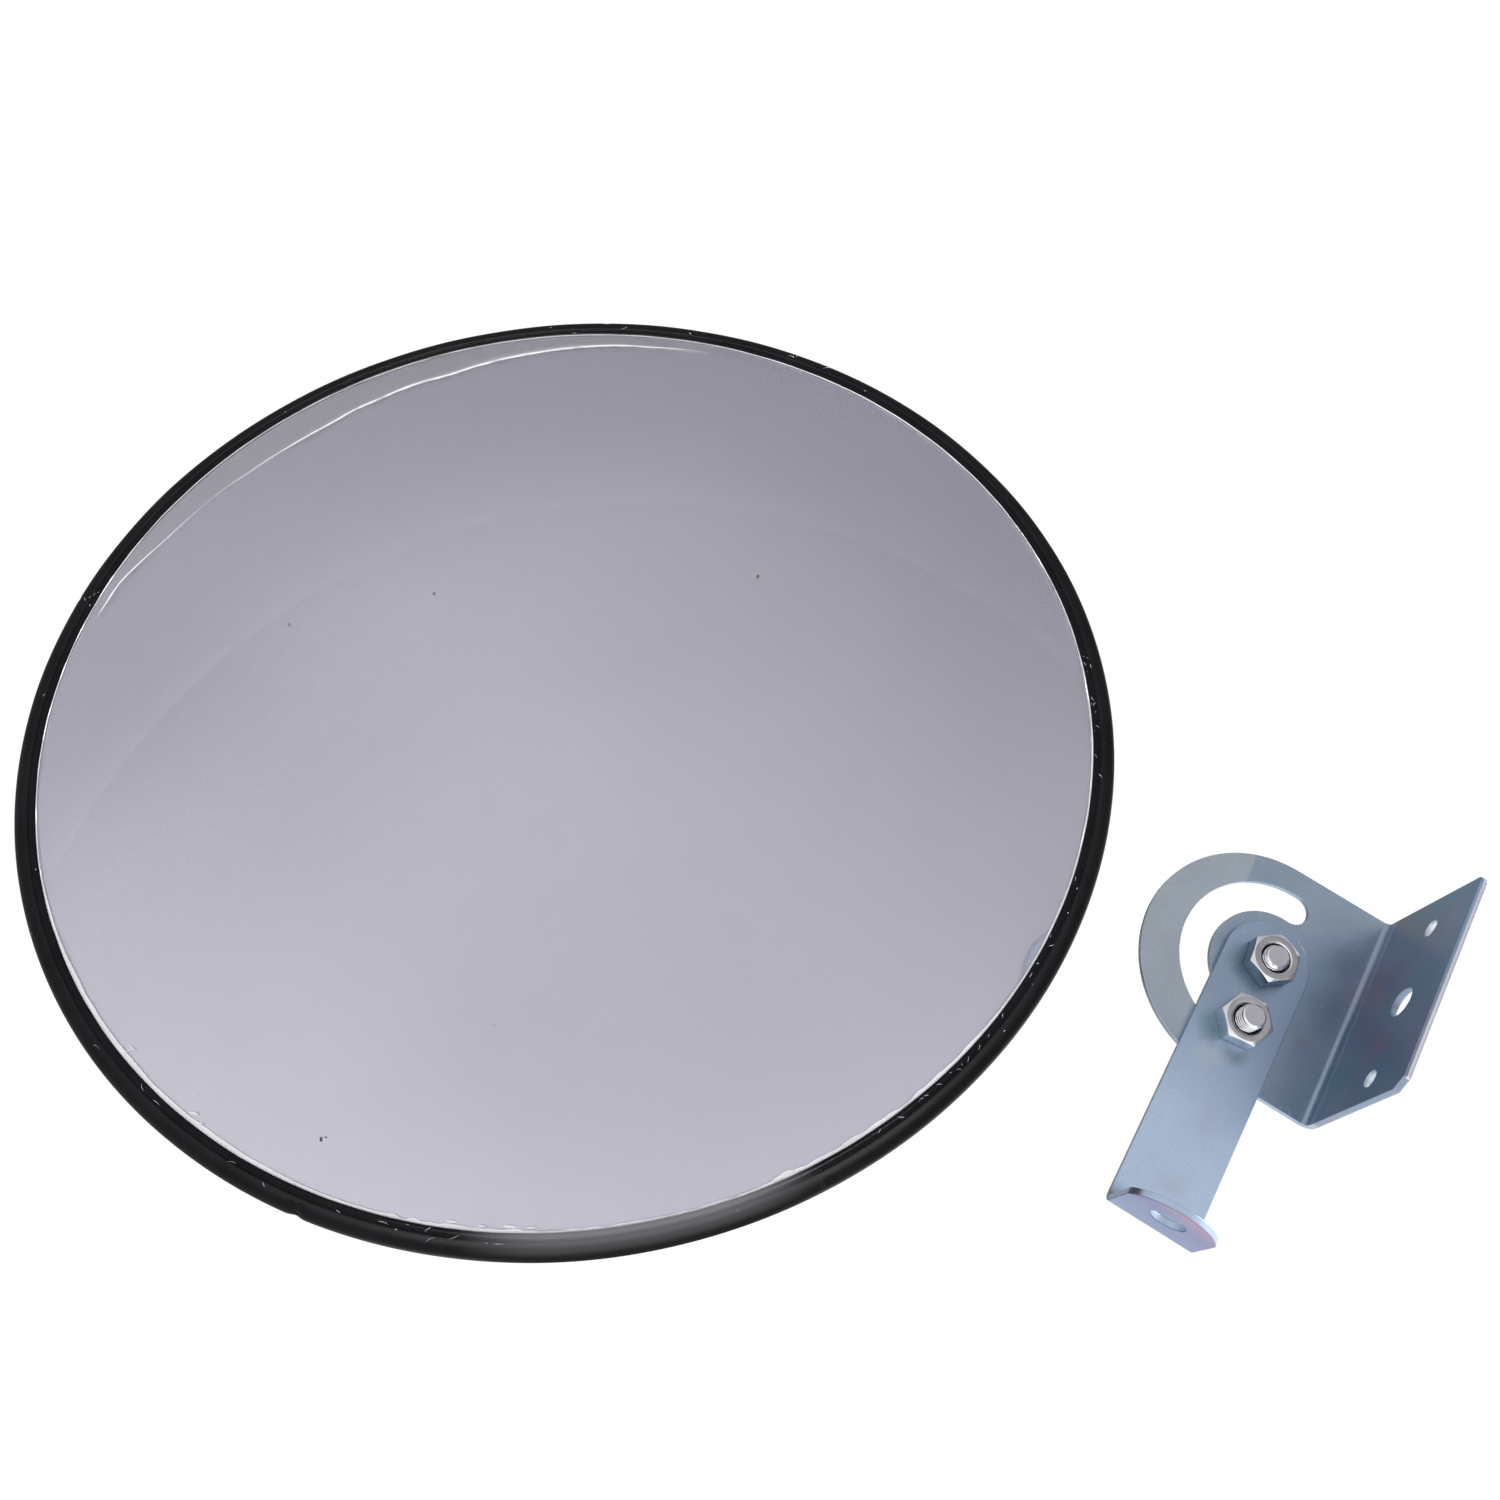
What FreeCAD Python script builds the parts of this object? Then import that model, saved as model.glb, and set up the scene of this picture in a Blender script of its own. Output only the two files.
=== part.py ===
import FreeCAD, Part
import Sketcher
import math
import os

# Convex security mirror, 300 mm over its rubber edge, with its two-piece
# zinc-plated wall bracket.  Millimetres and degrees.
#
# Frame: origin at the middle screw hole of the wall plate, on the face that
# lies against the wall; +Y into the wall, +Z up the wall plate, +X along the
# tilt axis, from the bolt heads towards the nuts.
#
# The mirror unit lies unbolted beside its bracket.  It is built in its own
# frame, with +z through the insert and out of the middle of the dome, and
# its pose is set by unit_x ... unit_pitch.

# ---------------------------------------------------------------- dimensions
SIZES = {
    # Wall plate (bent sheet).  The leg arc's centre is given from the pivot,
    # and the flange's reach and rise from the pivot's x and the leg's bottom.
    "plate_gauge": 1.6,
    "pivot_x": -23.6, "pivot_y": -24.9, "pivot_z": 2.2,
    "leg_arc_radius": 28.2, "leg_arc_y": -1.6, "leg_arc_z": -1.4,
    "flange_reach": 39.0, "flange_rise": 2.2, "flange_rise_start": 3.4,
    "flange_clip": 2.6, "flange_corner": 1.3, "bend_inside": 1.4,
    "pivot_hole_dia": 6.16,
    "slot_radius": 17.0, "slot_width": 7.4, "slot_end_angle": 86.0,
    "screw_hole_dia": 4.2, "middle_hole_dia": 7.5, "screw_pitch": 20.0,
    # Swing arm (bent sheet).  Tab x positions are given from the pivot.
    "arm_gauge": 1.6, "arm_half_width": 10.5, "arm_drop": 69.8,
    "tab_play": 0.1, "tab_hole_x": 12.7, "tab_hole_dia": 8.0,
    "tab_arc_x": 10.6, "tab_arc_radius": 11.2, "arm_hole_dia": 6.4,
    # M6 hardware.  hex_tip_ratio is the bevel's end radius over the flats.
    "bolt_dia": 6.0, "head_flats": 10.0, "head_height": 4.0,
    "nut_flats": 11.0, "nut_height": 5.0, "nut_bore": 6.12, "nut_mouth_chamfer": 0.6,
    "hex_tip_ratio": 0.475, "hex_bevel_angle": 30.0,
    "flat_washer_dia": 12.0, "flat_washer_gauge": 1.6, "washer_hole": 6.4,
    "pivot_tip_proud": 1.0, "clamp_tip_proud": 3.1,
    "tip_chamfer": 0.7, "tip_chamfer_ratio": 0.9,
    "spring_washer_dia": 11.8, "spring_washer_gauge": 1.6, "spring_washer_gap": 12.0,
    "mounting_bolt_length": 16.0,
    # Turn of each piece about its own axis
    "pivot_bolt_turn": 7.0, "pivot_nut_turn": 66.9,
    "clamp_bolt_turn": 21.0, "clamp_nut_turn": 37.0,
    "mounting_bolt_turn": 17.0, "spring_washer_turn": 40.0,
    # Mirror unit, in its own frame
    "mirror_radius": 150.0, "sheet_radius": 147.2, "face_radius": 144.0,
    "acrylic_gauge": 1.8, "dome_rise": 29.0, "acrylic_back": 0.0,
    "board_gauge": 1.8, "film_gap": 0.12, "film_gauge": 0.2, "film_radius": 143.6,
    "trim_lip": 0.85, "trim_round": 1.5, "lip_rise": 0.45, "lip_bevel": 0.9,
    "mount_plate_dia": 64.0, "mount_plate_gauge": 1.5,
    "rivet_circle": 48.0, "rivet_dia": 4.0,
    "rivet_head_dia": 7.6, "rivet_head_height": 1.3, "rivet_shank_proud": 1.0,
    "rivet_tail_dia": 6.0, "rivet_tail_tip_dia": 4.8, "rivet_tail_height": 1.6,
    "insert_barrel": 8.0, "insert_flange_dia": 19.0, "insert_flange_gauge": 1.2,
    "insert_height": 9.0,
    # Where the mirror unit lies
    "unit_x": -86.06, "unit_y": -207.77, "unit_z": -10.14,
    "unit_yaw": -12.45, "unit_pitch": 2.76,
}
RIVET_COUNT = 4

# Places and sizes that the sheet works out from the ones above
FORMULAS = {
    # Wall plate
    "leg_back_x": "pivot_x - plate_gauge",
    "leg_centre_y": "pivot_y + leg_arc_y",
    "leg_centre_z": "pivot_z + leg_arc_z",
    "leg_bottom_z": "leg_centre_z - leg_arc_radius",
    "leg_top_z": "leg_centre_z + leg_arc_radius",
    "flange_rise_x": "pivot_x + flange_rise_start",
    "flange_end_x": "pivot_x + flange_reach",
    "flange_low_z": "leg_bottom_z + flange_rise",
    "plate_bend_outside": "bend_inside + plate_gauge",
    "slot_outer_radius": "slot_radius + slot_width / 2",
    "slot_inner_radius": "slot_radius - slot_width / 2",
    "slot_end_y": "pivot_y + slot_radius * cos(slot_end_angle * 1deg)",
    "slot_end_z": "pivot_z + slot_radius * sin(slot_end_angle * 1deg)",
    "lower_screw_z": "-screw_pitch",
    # Swing arm
    "clamp_z": "pivot_z - slot_radius",
    "arm_front_x": "pivot_x + arm_gauge",
    "arm_foot_z": "pivot_z - arm_drop",
    "arm_wall_side_y": "pivot_y + arm_half_width",
    "arm_room_side_y": "pivot_y - arm_half_width",
    "arm_bend_outside": "bend_inside + arm_gauge",
    "tab_centre_x": "pivot_x + tab_arc_x",
    "tab_hole_centre_x": "pivot_x + tab_hole_x",
    # Bracket hardware
    "washer_back_x": "leg_back_x - flat_washer_gauge",
    "bolt_grip": "flat_washer_gauge + plate_gauge + arm_gauge + nut_height",
    "pivot_bolt_length": "bolt_grip + pivot_tip_proud",
    "clamp_bolt_length": "bolt_grip + clamp_tip_proud",
    # Dome and film
    "acrylic_front": "acrylic_back + acrylic_gauge",
    "dome_outer_radius": "(face_radius ^ 2 + dome_rise ^ 2) / (2 * dome_rise)",
    "dome_inner_radius": "dome_outer_radius - acrylic_gauge",
    "sphere_z": "acrylic_front + dome_rise - dome_outer_radius",
    "film_inner_radius": "dome_outer_radius + film_gap",
    "film_outer_radius": "film_inner_radius + film_gauge",
    "film_inner_rim": "film_radius * film_inner_radius / film_outer_radius",
    # Board, mounting plate and insert
    "sheet_dia": "2 * sheet_radius",
    "board_back": "acrylic_back - board_gauge",
    "mount_plate_back": "board_back - mount_plate_gauge",
    "mount_plate_round": "mount_plate_gauge * 0.6",
    "insert_bore_radius": "nut_bore / 2",
    "insert_barrel_radius": "insert_barrel / 2",
    "insert_flange_radius": "insert_flange_dia / 2",
    "insert_flange_front": "acrylic_back + insert_flange_gauge",
    "insert_front": "mount_plate_back + insert_height",
    # Edge trim
    "lip_bevel_radius": "face_radius + lip_bevel",
    "trim_shoulder_radius": "mirror_radius - trim_round",
    "lip_front": "acrylic_front + lip_rise",
    "trim_front": "acrylic_front + trim_lip",
    "trim_front_shoulder": "trim_front - trim_round",
    "lip_back": "board_back - lip_rise",
    "trim_back": "board_back - trim_lip",
    "trim_back_shoulder": "trim_back + trim_round",
    # Mounting hardware, stacked behind the room left for the arm's tab
    "mounting_washer_front": "mount_plate_back - arm_gauge - tab_play",
    "mounting_washer_back": "mounting_washer_front - flat_washer_gauge",
    "spring_washer_back": "mounting_washer_back - spring_washer_gauge",
}

doc = FreeCAD.newDocument("ConvexSecurityMirror")
sheet = doc.addObject("Spreadsheet::Sheet", "dims")
cells = {alias: str(number) for alias, number in SIZES.items()}
cells.update({alias: "=" + formula for alias, formula in FORMULAS.items()})
for row, (alias, content) in enumerate(cells.items(), start=1):
    sheet.set("A%d" % row, alias)
    sheet.set("B%d" % row, content)
    sheet.setAlias("B%d" % row, alias)
doc.recompute()
size = {alias: float(sheet.get(alias)) for alias in cells}

V = FreeCAD.Vector
X, Y, Z = V(1, 0, 0), V(0, 1, 0), V(0, 0, 1)
TOLERANCE = 1e-6
START, END, CENTRE = 1, 2, 3                    # points of a sketch element
ORIGIN, H_AXIS, V_AXIS = (-1, 1), -1, -2        # a sketch's own references
parts = []                                      # the pieces to export


def keep(obj, label):
    obj.Label = label
    parts.append(obj)
    return obj


# ---------------------------------------------------------------- sketches
def new_body(label):
    return keep(doc.addObject("PartDesign::Body", label + "_body"), label)


def new_sketch(body, name, role, offset=None):
    """A sketch on an origin plane, moved along its normal by the alias offset."""
    sketch = body.newObject("Sketcher::SketchObject", name)
    plane = next(item for item in body.Origin.OriginFeatures if item.Role == role)
    sketch.AttachmentSupport = [(plane, "")]
    sketch.MapMode = "FlatFace"
    if offset:
        sketch.setExpression("AttachmentOffset.Base.z", "dims." + offset)
    return sketch


def line(sketch, start, end):
    return sketch.addGeometry(Part.LineSegment(V(*start, 0), V(*end, 0)), False)


def arc(sketch, centre, radius, start_angle, end_angle):
    """An arc, anticlockwise; angles in radians."""
    whole = Part.Circle(V(*centre, 0), Z, radius)
    return sketch.addGeometry(Part.ArcOfCircle(whole, start_angle, end_angle), False)


def constrain(sketch, kind, *references):
    return sketch.addConstraint(Sketcher.Constraint(kind, *references))


def bind(sketch, kind, references, name, alias):
    """Add a named dimensional constraint and drive it from the sheet."""
    number = constrain(sketch, kind, *references, size[alias])
    sketch.renameConstraint(number, name)
    sketch.setExpression("Constraints." + name, "dims." + alias)


def bind_point(sketch, name, element, point, x_alias, y_alias):
    """Drive a point's coordinates from the sheet; None puts it on the axis."""
    for kind, suffix, alias, axis in (("DistanceX", "_x", x_alias, V_AXIS),
                                      ("DistanceY", "_y", y_alias, H_AXIS)):
        if alias is None:
            constrain(sketch, "PointOnObject", element, point, axis)
        else:
            bind(sketch, kind, (*ORIGIN, element, point), name + suffix, alias)


def chain(sketch, elements):
    """Join the elements end to start into a closed loop."""
    for element, following in zip(elements, elements[1:] + elements[:1]):
        constrain(sketch, "Coincident", element, END, following, START)


def circle(sketch, name, x_alias, y_alias, dia_alias):
    x, y = (size[alias] if alias else 0.0 for alias in (x_alias, y_alias))
    ring = sketch.addGeometry(Part.Circle(V(x, y, 0), Z, size[dia_alias] / 2), False)
    bind_point(sketch, name, ring, CENTRE, x_alias, y_alias)
    bind(sketch, "Diameter", (ring,), name + "_dia", dia_alias)


def polygon(sketch, name, corners):
    """A closed polygon; each corner is a pair of aliases."""
    points = [(size[x], size[y]) for x, y in corners]
    sides = [line(sketch, start, end) for start, end in zip(points, points[1:] + points[:1])]
    chain(sketch, sides)
    for i, (x, y) in enumerate(corners):
        bind_point(sketch, "%s_%d" % (name, i), sides[i], START, x, y)


# ---------------------------------------------------------------- features
def pad(body, sketch, name, length):
    feature = body.newObject("PartDesign::Pad", name)
    feature.Profile = sketch
    feature.setExpression("Length", "dims." + length)
    doc.recompute()
    return feature


def cut_through(body, sketch, name):
    """Pocket through everything, both ways; an empty cut is an error."""
    volume_before = body.Shape.Volume
    feature = body.newObject("PartDesign::Pocket", name)
    feature.Profile = sketch
    feature.Type = "ThroughAll"
    feature.Midplane = True
    doc.recompute()
    if body.Shape.Volume > volume_before - 0.5:
        raise RuntimeError(name + " cut nothing")
    return feature


def revolve(body, sketch, name):
    """A full turn of the sketch about its vertical axis."""
    feature = body.newObject("PartDesign::Revolution", name)
    feature.Profile = sketch
    feature.ReferenceAxis = (sketch, ["V_Axis"])
    feature.Angle = 360
    doc.recompute()


def edge_names(shape, test):
    return ["Edge%d" % number for number, edge in enumerate(shape.Edges, start=1) if test(edge)]


def straight_edges(shape, axis, **place):
    """Names of straight edges along axis that start at the given X, Y or Z."""
    def matches(edge):
        first = edge.Vertexes[0]
        span = edge.Vertexes[-1].Point.sub(first.Point)
        if span.Length < TOLERANCE or abs(edge.Length - span.Length) > TOLERANCE:
            return False
        if abs(abs(span.dot(axis)) / span.Length - 1) >= TOLERANCE:
            return False
        return all(abs(getattr(first, key) - at) < TOLERANCE for key, at in place.items())

    return edge_names(shape, matches)


def dress(body, base, name, kind, edges, alias):
    """Fillet or chamfer the named edges of base."""
    if not edges:
        raise RuntimeError(name + " found no edges")
    feature = body.newObject("PartDesign::" + kind, name)
    feature.Base = (base, edges)
    feature.setExpression("Size" if kind == "Chamfer" else "Radius", "dims." + alias)
    doc.recompute()
    return feature


# ---------------------------------------------------------------- bracket
def draw_leg(sketch):
    """A rectangle from the wall, ending in a half round on the room side."""
    arc_y, arc_z = size["leg_centre_y"], size["leg_centre_z"]
    bottom, top = size["leg_bottom_z"], size["leg_top_z"]
    end_arc = arc(sketch, (arc_y, arc_z), size["leg_arc_radius"], math.pi / 2, 3 * math.pi / 2)
    lower = line(sketch, (arc_y, bottom), (0, bottom))
    wall_side = line(sketch, (0, bottom), (0, top))
    upper = line(sketch, (0, top), (arc_y, top))
    chain(sketch, [end_arc, lower, wall_side, upper])
    constrain(sketch, "PointOnObject", wall_side, START, V_AXIS)
    constrain(sketch, "Horizontal", lower)
    constrain(sketch, "Horizontal", upper)
    constrain(sketch, "Vertical", wall_side)
    bind_point(sketch, "arc", end_arc, CENTRE, "leg_centre_y", "leg_centre_z")
    bind(sketch, "Radius", (end_arc,), "arc_radius", "leg_arc_radius")
    constrain(sketch, "Vertical", end_arc, START, end_arc, CENTRE)


def draw_tilt_slot(sketch):
    """A C round the pivot: from straight below it, over the room side, to
    slot_end_angle above it."""
    pivot = (size["pivot_y"], size["pivot_z"])
    end_angle = math.radians(size["slot_end_angle"])
    half_width = size["slot_width"] / 2
    outer = arc(sketch, pivot, size["slot_outer_radius"], end_angle, 3 * math.pi / 2)
    inner = arc(sketch, pivot, size["slot_inner_radius"], end_angle, 3 * math.pi / 2)
    low_cap = arc(sketch, (size["pivot_y"], size["clamp_z"]), half_width,
                  -math.pi / 2, math.pi / 2)
    top_cap = arc(sketch, (size["slot_end_y"], size["slot_end_z"]), half_width,
                  end_angle - math.pi, end_angle)
    constrain(sketch, "Coincident", outer, CENTRE, inner, CENTRE)
    constrain(sketch, "Tangent", outer, END, low_cap, START)
    constrain(sketch, "Tangent", low_cap, END, inner, END)
    constrain(sketch, "Tangent", outer, START, top_cap, END)
    constrain(sketch, "Tangent", top_cap, START, inner, START)
    bind_point(sketch, "centre", outer, CENTRE, "pivot_y", "pivot_z")
    bind(sketch, "Radius", (outer,), "outer_radius", "slot_outer_radius")
    bind(sketch, "Radius", (inner,), "inner_radius", "slot_inner_radius")
    constrain(sketch, "Vertical", low_cap, CENTRE, outer, CENTRE)
    bind(sketch, "DistanceX", (*ORIGIN, top_cap, CENTRE), "end_y", "slot_end_y")


def wall_plate():
    """Leg with a tilt slot, bent to a flange with three wall holes."""
    body = new_body("wall_plate")
    sketch = new_sketch(body, "leg_outline", "YZ_Plane", "leg_back_x")
    draw_leg(sketch)
    pad(body, sketch, "leg", "plate_gauge")

    sketch = new_sketch(body, "flange_outline", "XZ_Plane")
    polygon(sketch, "flange", [
        ("leg_back_x", "leg_bottom_z"), ("flange_rise_x", "leg_bottom_z"),
        ("flange_end_x", "flange_low_z"), ("flange_end_x", "leg_top_z"),
        ("leg_back_x", "leg_top_z")])
    feature = pad(body, sketch, "flange", "plate_gauge")

    # The bend, then the two free corners of the flange
    end_x = size["flange_end_x"]
    for name, kind, axis, place, alias in (
            ("bend_outside", "Fillet", Z, {"X": size["leg_back_x"], "Y": 0},
             "plate_bend_outside"),
            ("bend_root", "Fillet", Z, {"X": size["pivot_x"], "Y": -size["plate_gauge"]},
             "bend_inside"),
            ("flange_clip_corner", "Chamfer", Y, {"X": end_x, "Z": size["flange_low_z"]},
             "flange_clip"),
            ("flange_tip_round", "Fillet", Y, {"X": end_x, "Z": size["leg_top_z"]},
             "flange_corner")):
        edges = straight_edges(body.Shape, axis, **place)
        feature = dress(body, feature, name, kind, edges, alias)

    sketch = new_sketch(body, "pivot_hole_sketch", "YZ_Plane")
    circle(sketch, "pivot", "pivot_y", "pivot_z", "pivot_hole_dia")
    cut_through(body, sketch, "pivot_hole")
    sketch = new_sketch(body, "tilt_slot_sketch", "YZ_Plane")
    draw_tilt_slot(sketch)
    cut_through(body, sketch, "tilt_slot")
    sketch = new_sketch(body, "middle_hole_sketch", "XZ_Plane")
    circle(sketch, "middle", None, None, "middle_hole_dia")
    cut_through(body, sketch, "middle_hole")
    sketch = new_sketch(body, "screw_hole_sketch", "XZ_Plane")
    circle(sketch, "upper", None, "screw_pitch", "screw_hole_dia")
    circle(sketch, "lower", None, "lower_screw_z", "screw_hole_dia")
    cut_through(body, sketch, "screw_holes")


def draw_strap(sketch):
    """The arm's upright, with a half round over the pivot."""
    pivot_z, foot_z = size["pivot_z"], size["arm_foot_z"]
    room_y, wall_y = size["arm_room_side_y"], size["arm_wall_side_y"]
    cap = arc(sketch, (size["pivot_y"], pivot_z), size["arm_half_width"], 0, math.pi)
    room_side = line(sketch, (room_y, pivot_z), (room_y, foot_z))
    foot = line(sketch, (room_y, foot_z), (wall_y, foot_z))
    wall_side = line(sketch, (wall_y, foot_z), (wall_y, pivot_z))
    chain(sketch, [cap, room_side, foot, wall_side])
    constrain(sketch, "Vertical", room_side)
    constrain(sketch, "Vertical", wall_side)
    constrain(sketch, "Horizontal", foot)
    constrain(sketch, "Horizontal", cap, START, cap, CENTRE)
    constrain(sketch, "Horizontal", cap, END, cap, CENTRE)
    bind_point(sketch, "cap", cap, CENTRE, "pivot_y", "pivot_z")
    bind(sketch, "Radius", (cap,), "half_width", "arm_half_width")
    bind(sketch, "DistanceY", (*ORIGIN, foot, START), "foot_z", "arm_foot_z")


def draw_tab(sketch):
    """The arm's foot, with an arc at its +X end."""
    root_x, centre_x, radius = size["pivot_x"], size["tab_centre_x"], size["tab_arc_radius"]
    room_y, wall_y = size["arm_room_side_y"], size["arm_wall_side_y"]
    half_angle = math.asin(size["arm_half_width"] / radius)
    arc_x = centre_x + radius * math.cos(half_angle)
    end_arc = arc(sketch, (centre_x, size["pivot_y"]), radius, -half_angle, half_angle)
    wall_side = line(sketch, (arc_x, wall_y), (root_x, wall_y))
    root = line(sketch, (root_x, wall_y), (root_x, room_y))
    room_side = line(sketch, (root_x, room_y), (arc_x, room_y))
    chain(sketch, [end_arc, wall_side, root, room_side])
    constrain(sketch, "Horizontal", wall_side)
    constrain(sketch, "Horizontal", room_side)
    constrain(sketch, "Vertical", root)
    bind_point(sketch, "arc", end_arc, CENTRE, "tab_centre_x", "pivot_y")
    bind(sketch, "Radius", (end_arc,), "arc_radius", "tab_arc_radius")
    bind_point(sketch, "root", root, START, "pivot_x", "arm_wall_side_y")
    bind(sketch, "DistanceY", (*ORIGIN, root, END), "root_end_y", "arm_room_side_y")


def swing_arm():
    """A strap that hangs from the pivot, its foot bent to a tab that takes the mirror."""
    body = new_body("swing_arm")
    sketch = new_sketch(body, "strap_outline", "YZ_Plane", "pivot_x")
    draw_strap(sketch)
    pad(body, sketch, "strap", "arm_gauge")
    sketch = new_sketch(body, "tab_outline", "XY_Plane", "arm_foot_z")
    draw_tab(sketch)
    tab = pad(body, sketch, "tab", "arm_gauge")

    edges = straight_edges(body.Shape, Y, X=size["pivot_x"], Z=size["arm_foot_z"])
    bend = dress(body, tab, "tab_bend_outside", "Fillet", edges, "arm_bend_outside")
    edges = straight_edges(body.Shape, Y, X=size["arm_front_x"],
                           Z=size["arm_foot_z"] + size["arm_gauge"])
    dress(body, bend, "tab_bend_root", "Fillet", edges, "bend_inside")

    sketch = new_sketch(body, "arm_hole_sketch", "YZ_Plane", "pivot_x")
    circle(sketch, "pivot", "pivot_y", "pivot_z", "arm_hole_dia")
    circle(sketch, "clamp", "pivot_y", "clamp_z", "arm_hole_dia")
    cut_through(body, sketch, "bolt_holes")
    sketch = new_sketch(body, "tab_hole_sketch", "XY_Plane", "arm_foot_z")
    circle(sketch, "tab_hole", "tab_hole_centre_x", "pivot_y", "tab_hole_dia")
    cut_through(body, sketch, "tab_hole")


# ---------------------------------------------------------------- hardware
def primitive(kind, name, base_z=None, **expressions):
    """A Part primitive along +z, its properties driven by expressions."""
    solid = doc.addObject("Part::" + kind, name)
    for prop, expression in expressions.items():
        solid.setExpression(prop, expression)
    if base_z:
        solid.setExpression("Placement.Base.z", base_z)
    return solid


def combine(kind, name, base, tool):
    result = doc.addObject("Part::" + kind, name)
    result.Base = base
    result.Tool = tool
    return result


def fuse(name, members):
    result = doc.addObject("Part::MultiFuse", name)
    result.Shapes = members
    return result


def hexagon(name, flats, height):
    """A hexagonal prism along +z, its corners bevelled by a cone at the top."""
    prism = primitive("Prism", name + "_prism", Height=height,
                      Circumradius=flats + " / 2 / cos(30deg)")
    prism.Polygon = 6
    tip_radius = flats + " * dims.hex_tip_ratio"
    bevel = primitive("Cone", name + "_bevel", Height=height, Radius2=tip_radius,
                      Radius1=tip_radius + " + " + height + " / tan(dims.hex_bevel_angle * 1deg)")
    return combine("Common", name + "_hex", prism, bevel)


def bolt(label, length, placement):
    """Head below z = 0, shank along +z with a chamfered tip."""
    name = label + "_solid"
    head = hexagon(name, "dims.head_flats", "dims.head_height")
    # The bevelled side of the head looks away from the shank.
    head.Placement = FreeCAD.Placement(V(0, 0, 0), FreeCAD.Rotation(X, 180))
    shank_length = "dims." + length + " - dims.tip_chamfer"
    shaft = primitive("Cylinder", name + "_shaft",
                      Radius="dims.bolt_dia / 2", Height=shank_length)
    tip = primitive("Cone", name + "_tip", shank_length, Radius1="dims.bolt_dia / 2",
                    Radius2="dims.bolt_dia / 2 - dims.tip_chamfer * dims.tip_chamfer_ratio",
                    Height="dims.tip_chamfer")
    solid = fuse(name, [head, shaft, tip])
    solid.Placement = placement
    keep(solid, label)


def washer(label, placement):
    name = label + "_ring"
    disc = primitive("Cylinder", name + "_disc",
                     Radius="dims.flat_washer_dia / 2", Height="dims.flat_washer_gauge")
    core = primitive("Cylinder", name + "_core", "-dims.flat_washer_gauge",
                     Radius="dims.washer_hole / 2", Height="dims.flat_washer_gauge * 3")
    ring = combine("Cut", name, disc, core)
    ring.Placement = placement
    keep(ring, label)


def nut(label, placement):
    name = label + "_solid"
    blank = hexagon(name, "dims.nut_flats", "dims.nut_height")
    core = primitive("Cylinder", name + "_core", "-dims.nut_height",
                     Radius="dims.nut_bore / 2", Height="dims.nut_height * 3")
    mouth = primitive("Cone", name + "_mouth", "dims.nut_height - dims.nut_mouth_chamfer",
                      Radius1="dims.nut_bore / 2",
                      Radius2="dims.nut_bore / 2 + dims.nut_mouth_chamfer",
                      Height="dims.nut_mouth_chamfer")
    solid = combine("Cut", name, blank, fuse(name + "_drill", [core, mouth]))
    solid.Placement = placement
    keep(solid, label)


def along_x(x, z, turn=0.0):
    """Local +z along +X in the pivot's y plane, turned about its own axis."""
    rotation = FreeCAD.Rotation(Y, 90).multiply(FreeCAD.Rotation(Z, turn))
    return FreeCAD.Placement(V(x, size["pivot_y"], z), rotation)


def bracket_hardware():
    """Washer and bolt head behind the leg, nut on the arm, at pivot and clamp."""
    for name in ("pivot", "clamp"):
        z = size[name + "_z"]
        back_x = size["washer_back_x"]
        washer(name + "_washer", along_x(back_x, z))
        bolt(name + "_bolt", name + "_bolt_length",
             along_x(back_x, z, size[name + "_bolt_turn"]))
        nut(name + "_nut", along_x(size["arm_front_x"], z, size[name + "_nut_turn"]))


# ---------------------------------------------------------------- mirror unit
def unit_placement():
    """The mirror unit's pose: its +z looks along yaw and pitch."""
    yaw, pitch = math.radians(size["unit_yaw"]), math.radians(size["unit_pitch"])
    facing = V(math.cos(pitch) * math.cos(yaw), math.cos(pitch) * math.sin(yaw),
               math.sin(pitch))
    sideways = Z.cross(facing)
    sideways.normalize()
    rotation = FreeCAD.Rotation(sideways, facing.cross(sideways), facing, "ZXY")
    return FreeCAD.Placement(V(size["unit_x"], size["unit_y"], size["unit_z"]), rotation)


UNIT = unit_placement()


def in_unit(z, turn=0.0):
    """A place on the unit's axis, turned about it."""
    return UNIT.multiply(FreeCAD.Placement(V(0, 0, z), FreeCAD.Rotation(Z, turn)))


def cap_arcs(sketch, inner_alias, outer_alias, inner_angle, outer_angle):
    """Two arcs about the dome's sphere centre, up to the axis, where a line joins them."""
    sphere_z = size["sphere_z"]
    inner_radius, outer_radius = size[inner_alias], size[outer_alias]
    outer = arc(sketch, (0, sphere_z), outer_radius, outer_angle, math.pi / 2)
    inner = arc(sketch, (0, sphere_z), inner_radius, inner_angle, math.pi / 2)
    axis = line(sketch, (0, sphere_z + outer_radius), (0, sphere_z + inner_radius))
    constrain(sketch, "Coincident", outer, END, axis, START)
    constrain(sketch, "Coincident", inner, END, axis, END)
    constrain(sketch, "PointOnObject", axis, START, V_AXIS)
    constrain(sketch, "PointOnObject", axis, END, V_AXIS)
    constrain(sketch, "Coincident", outer, CENTRE, inner, CENTRE)
    bind_point(sketch, "sphere", outer, CENTRE, None, "sphere_z")
    bind(sketch, "Radius", (outer,), "outer_radius", outer_alias)
    bind(sketch, "Radius", (inner,), "inner_radius", inner_alias)
    return inner, outer


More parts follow.
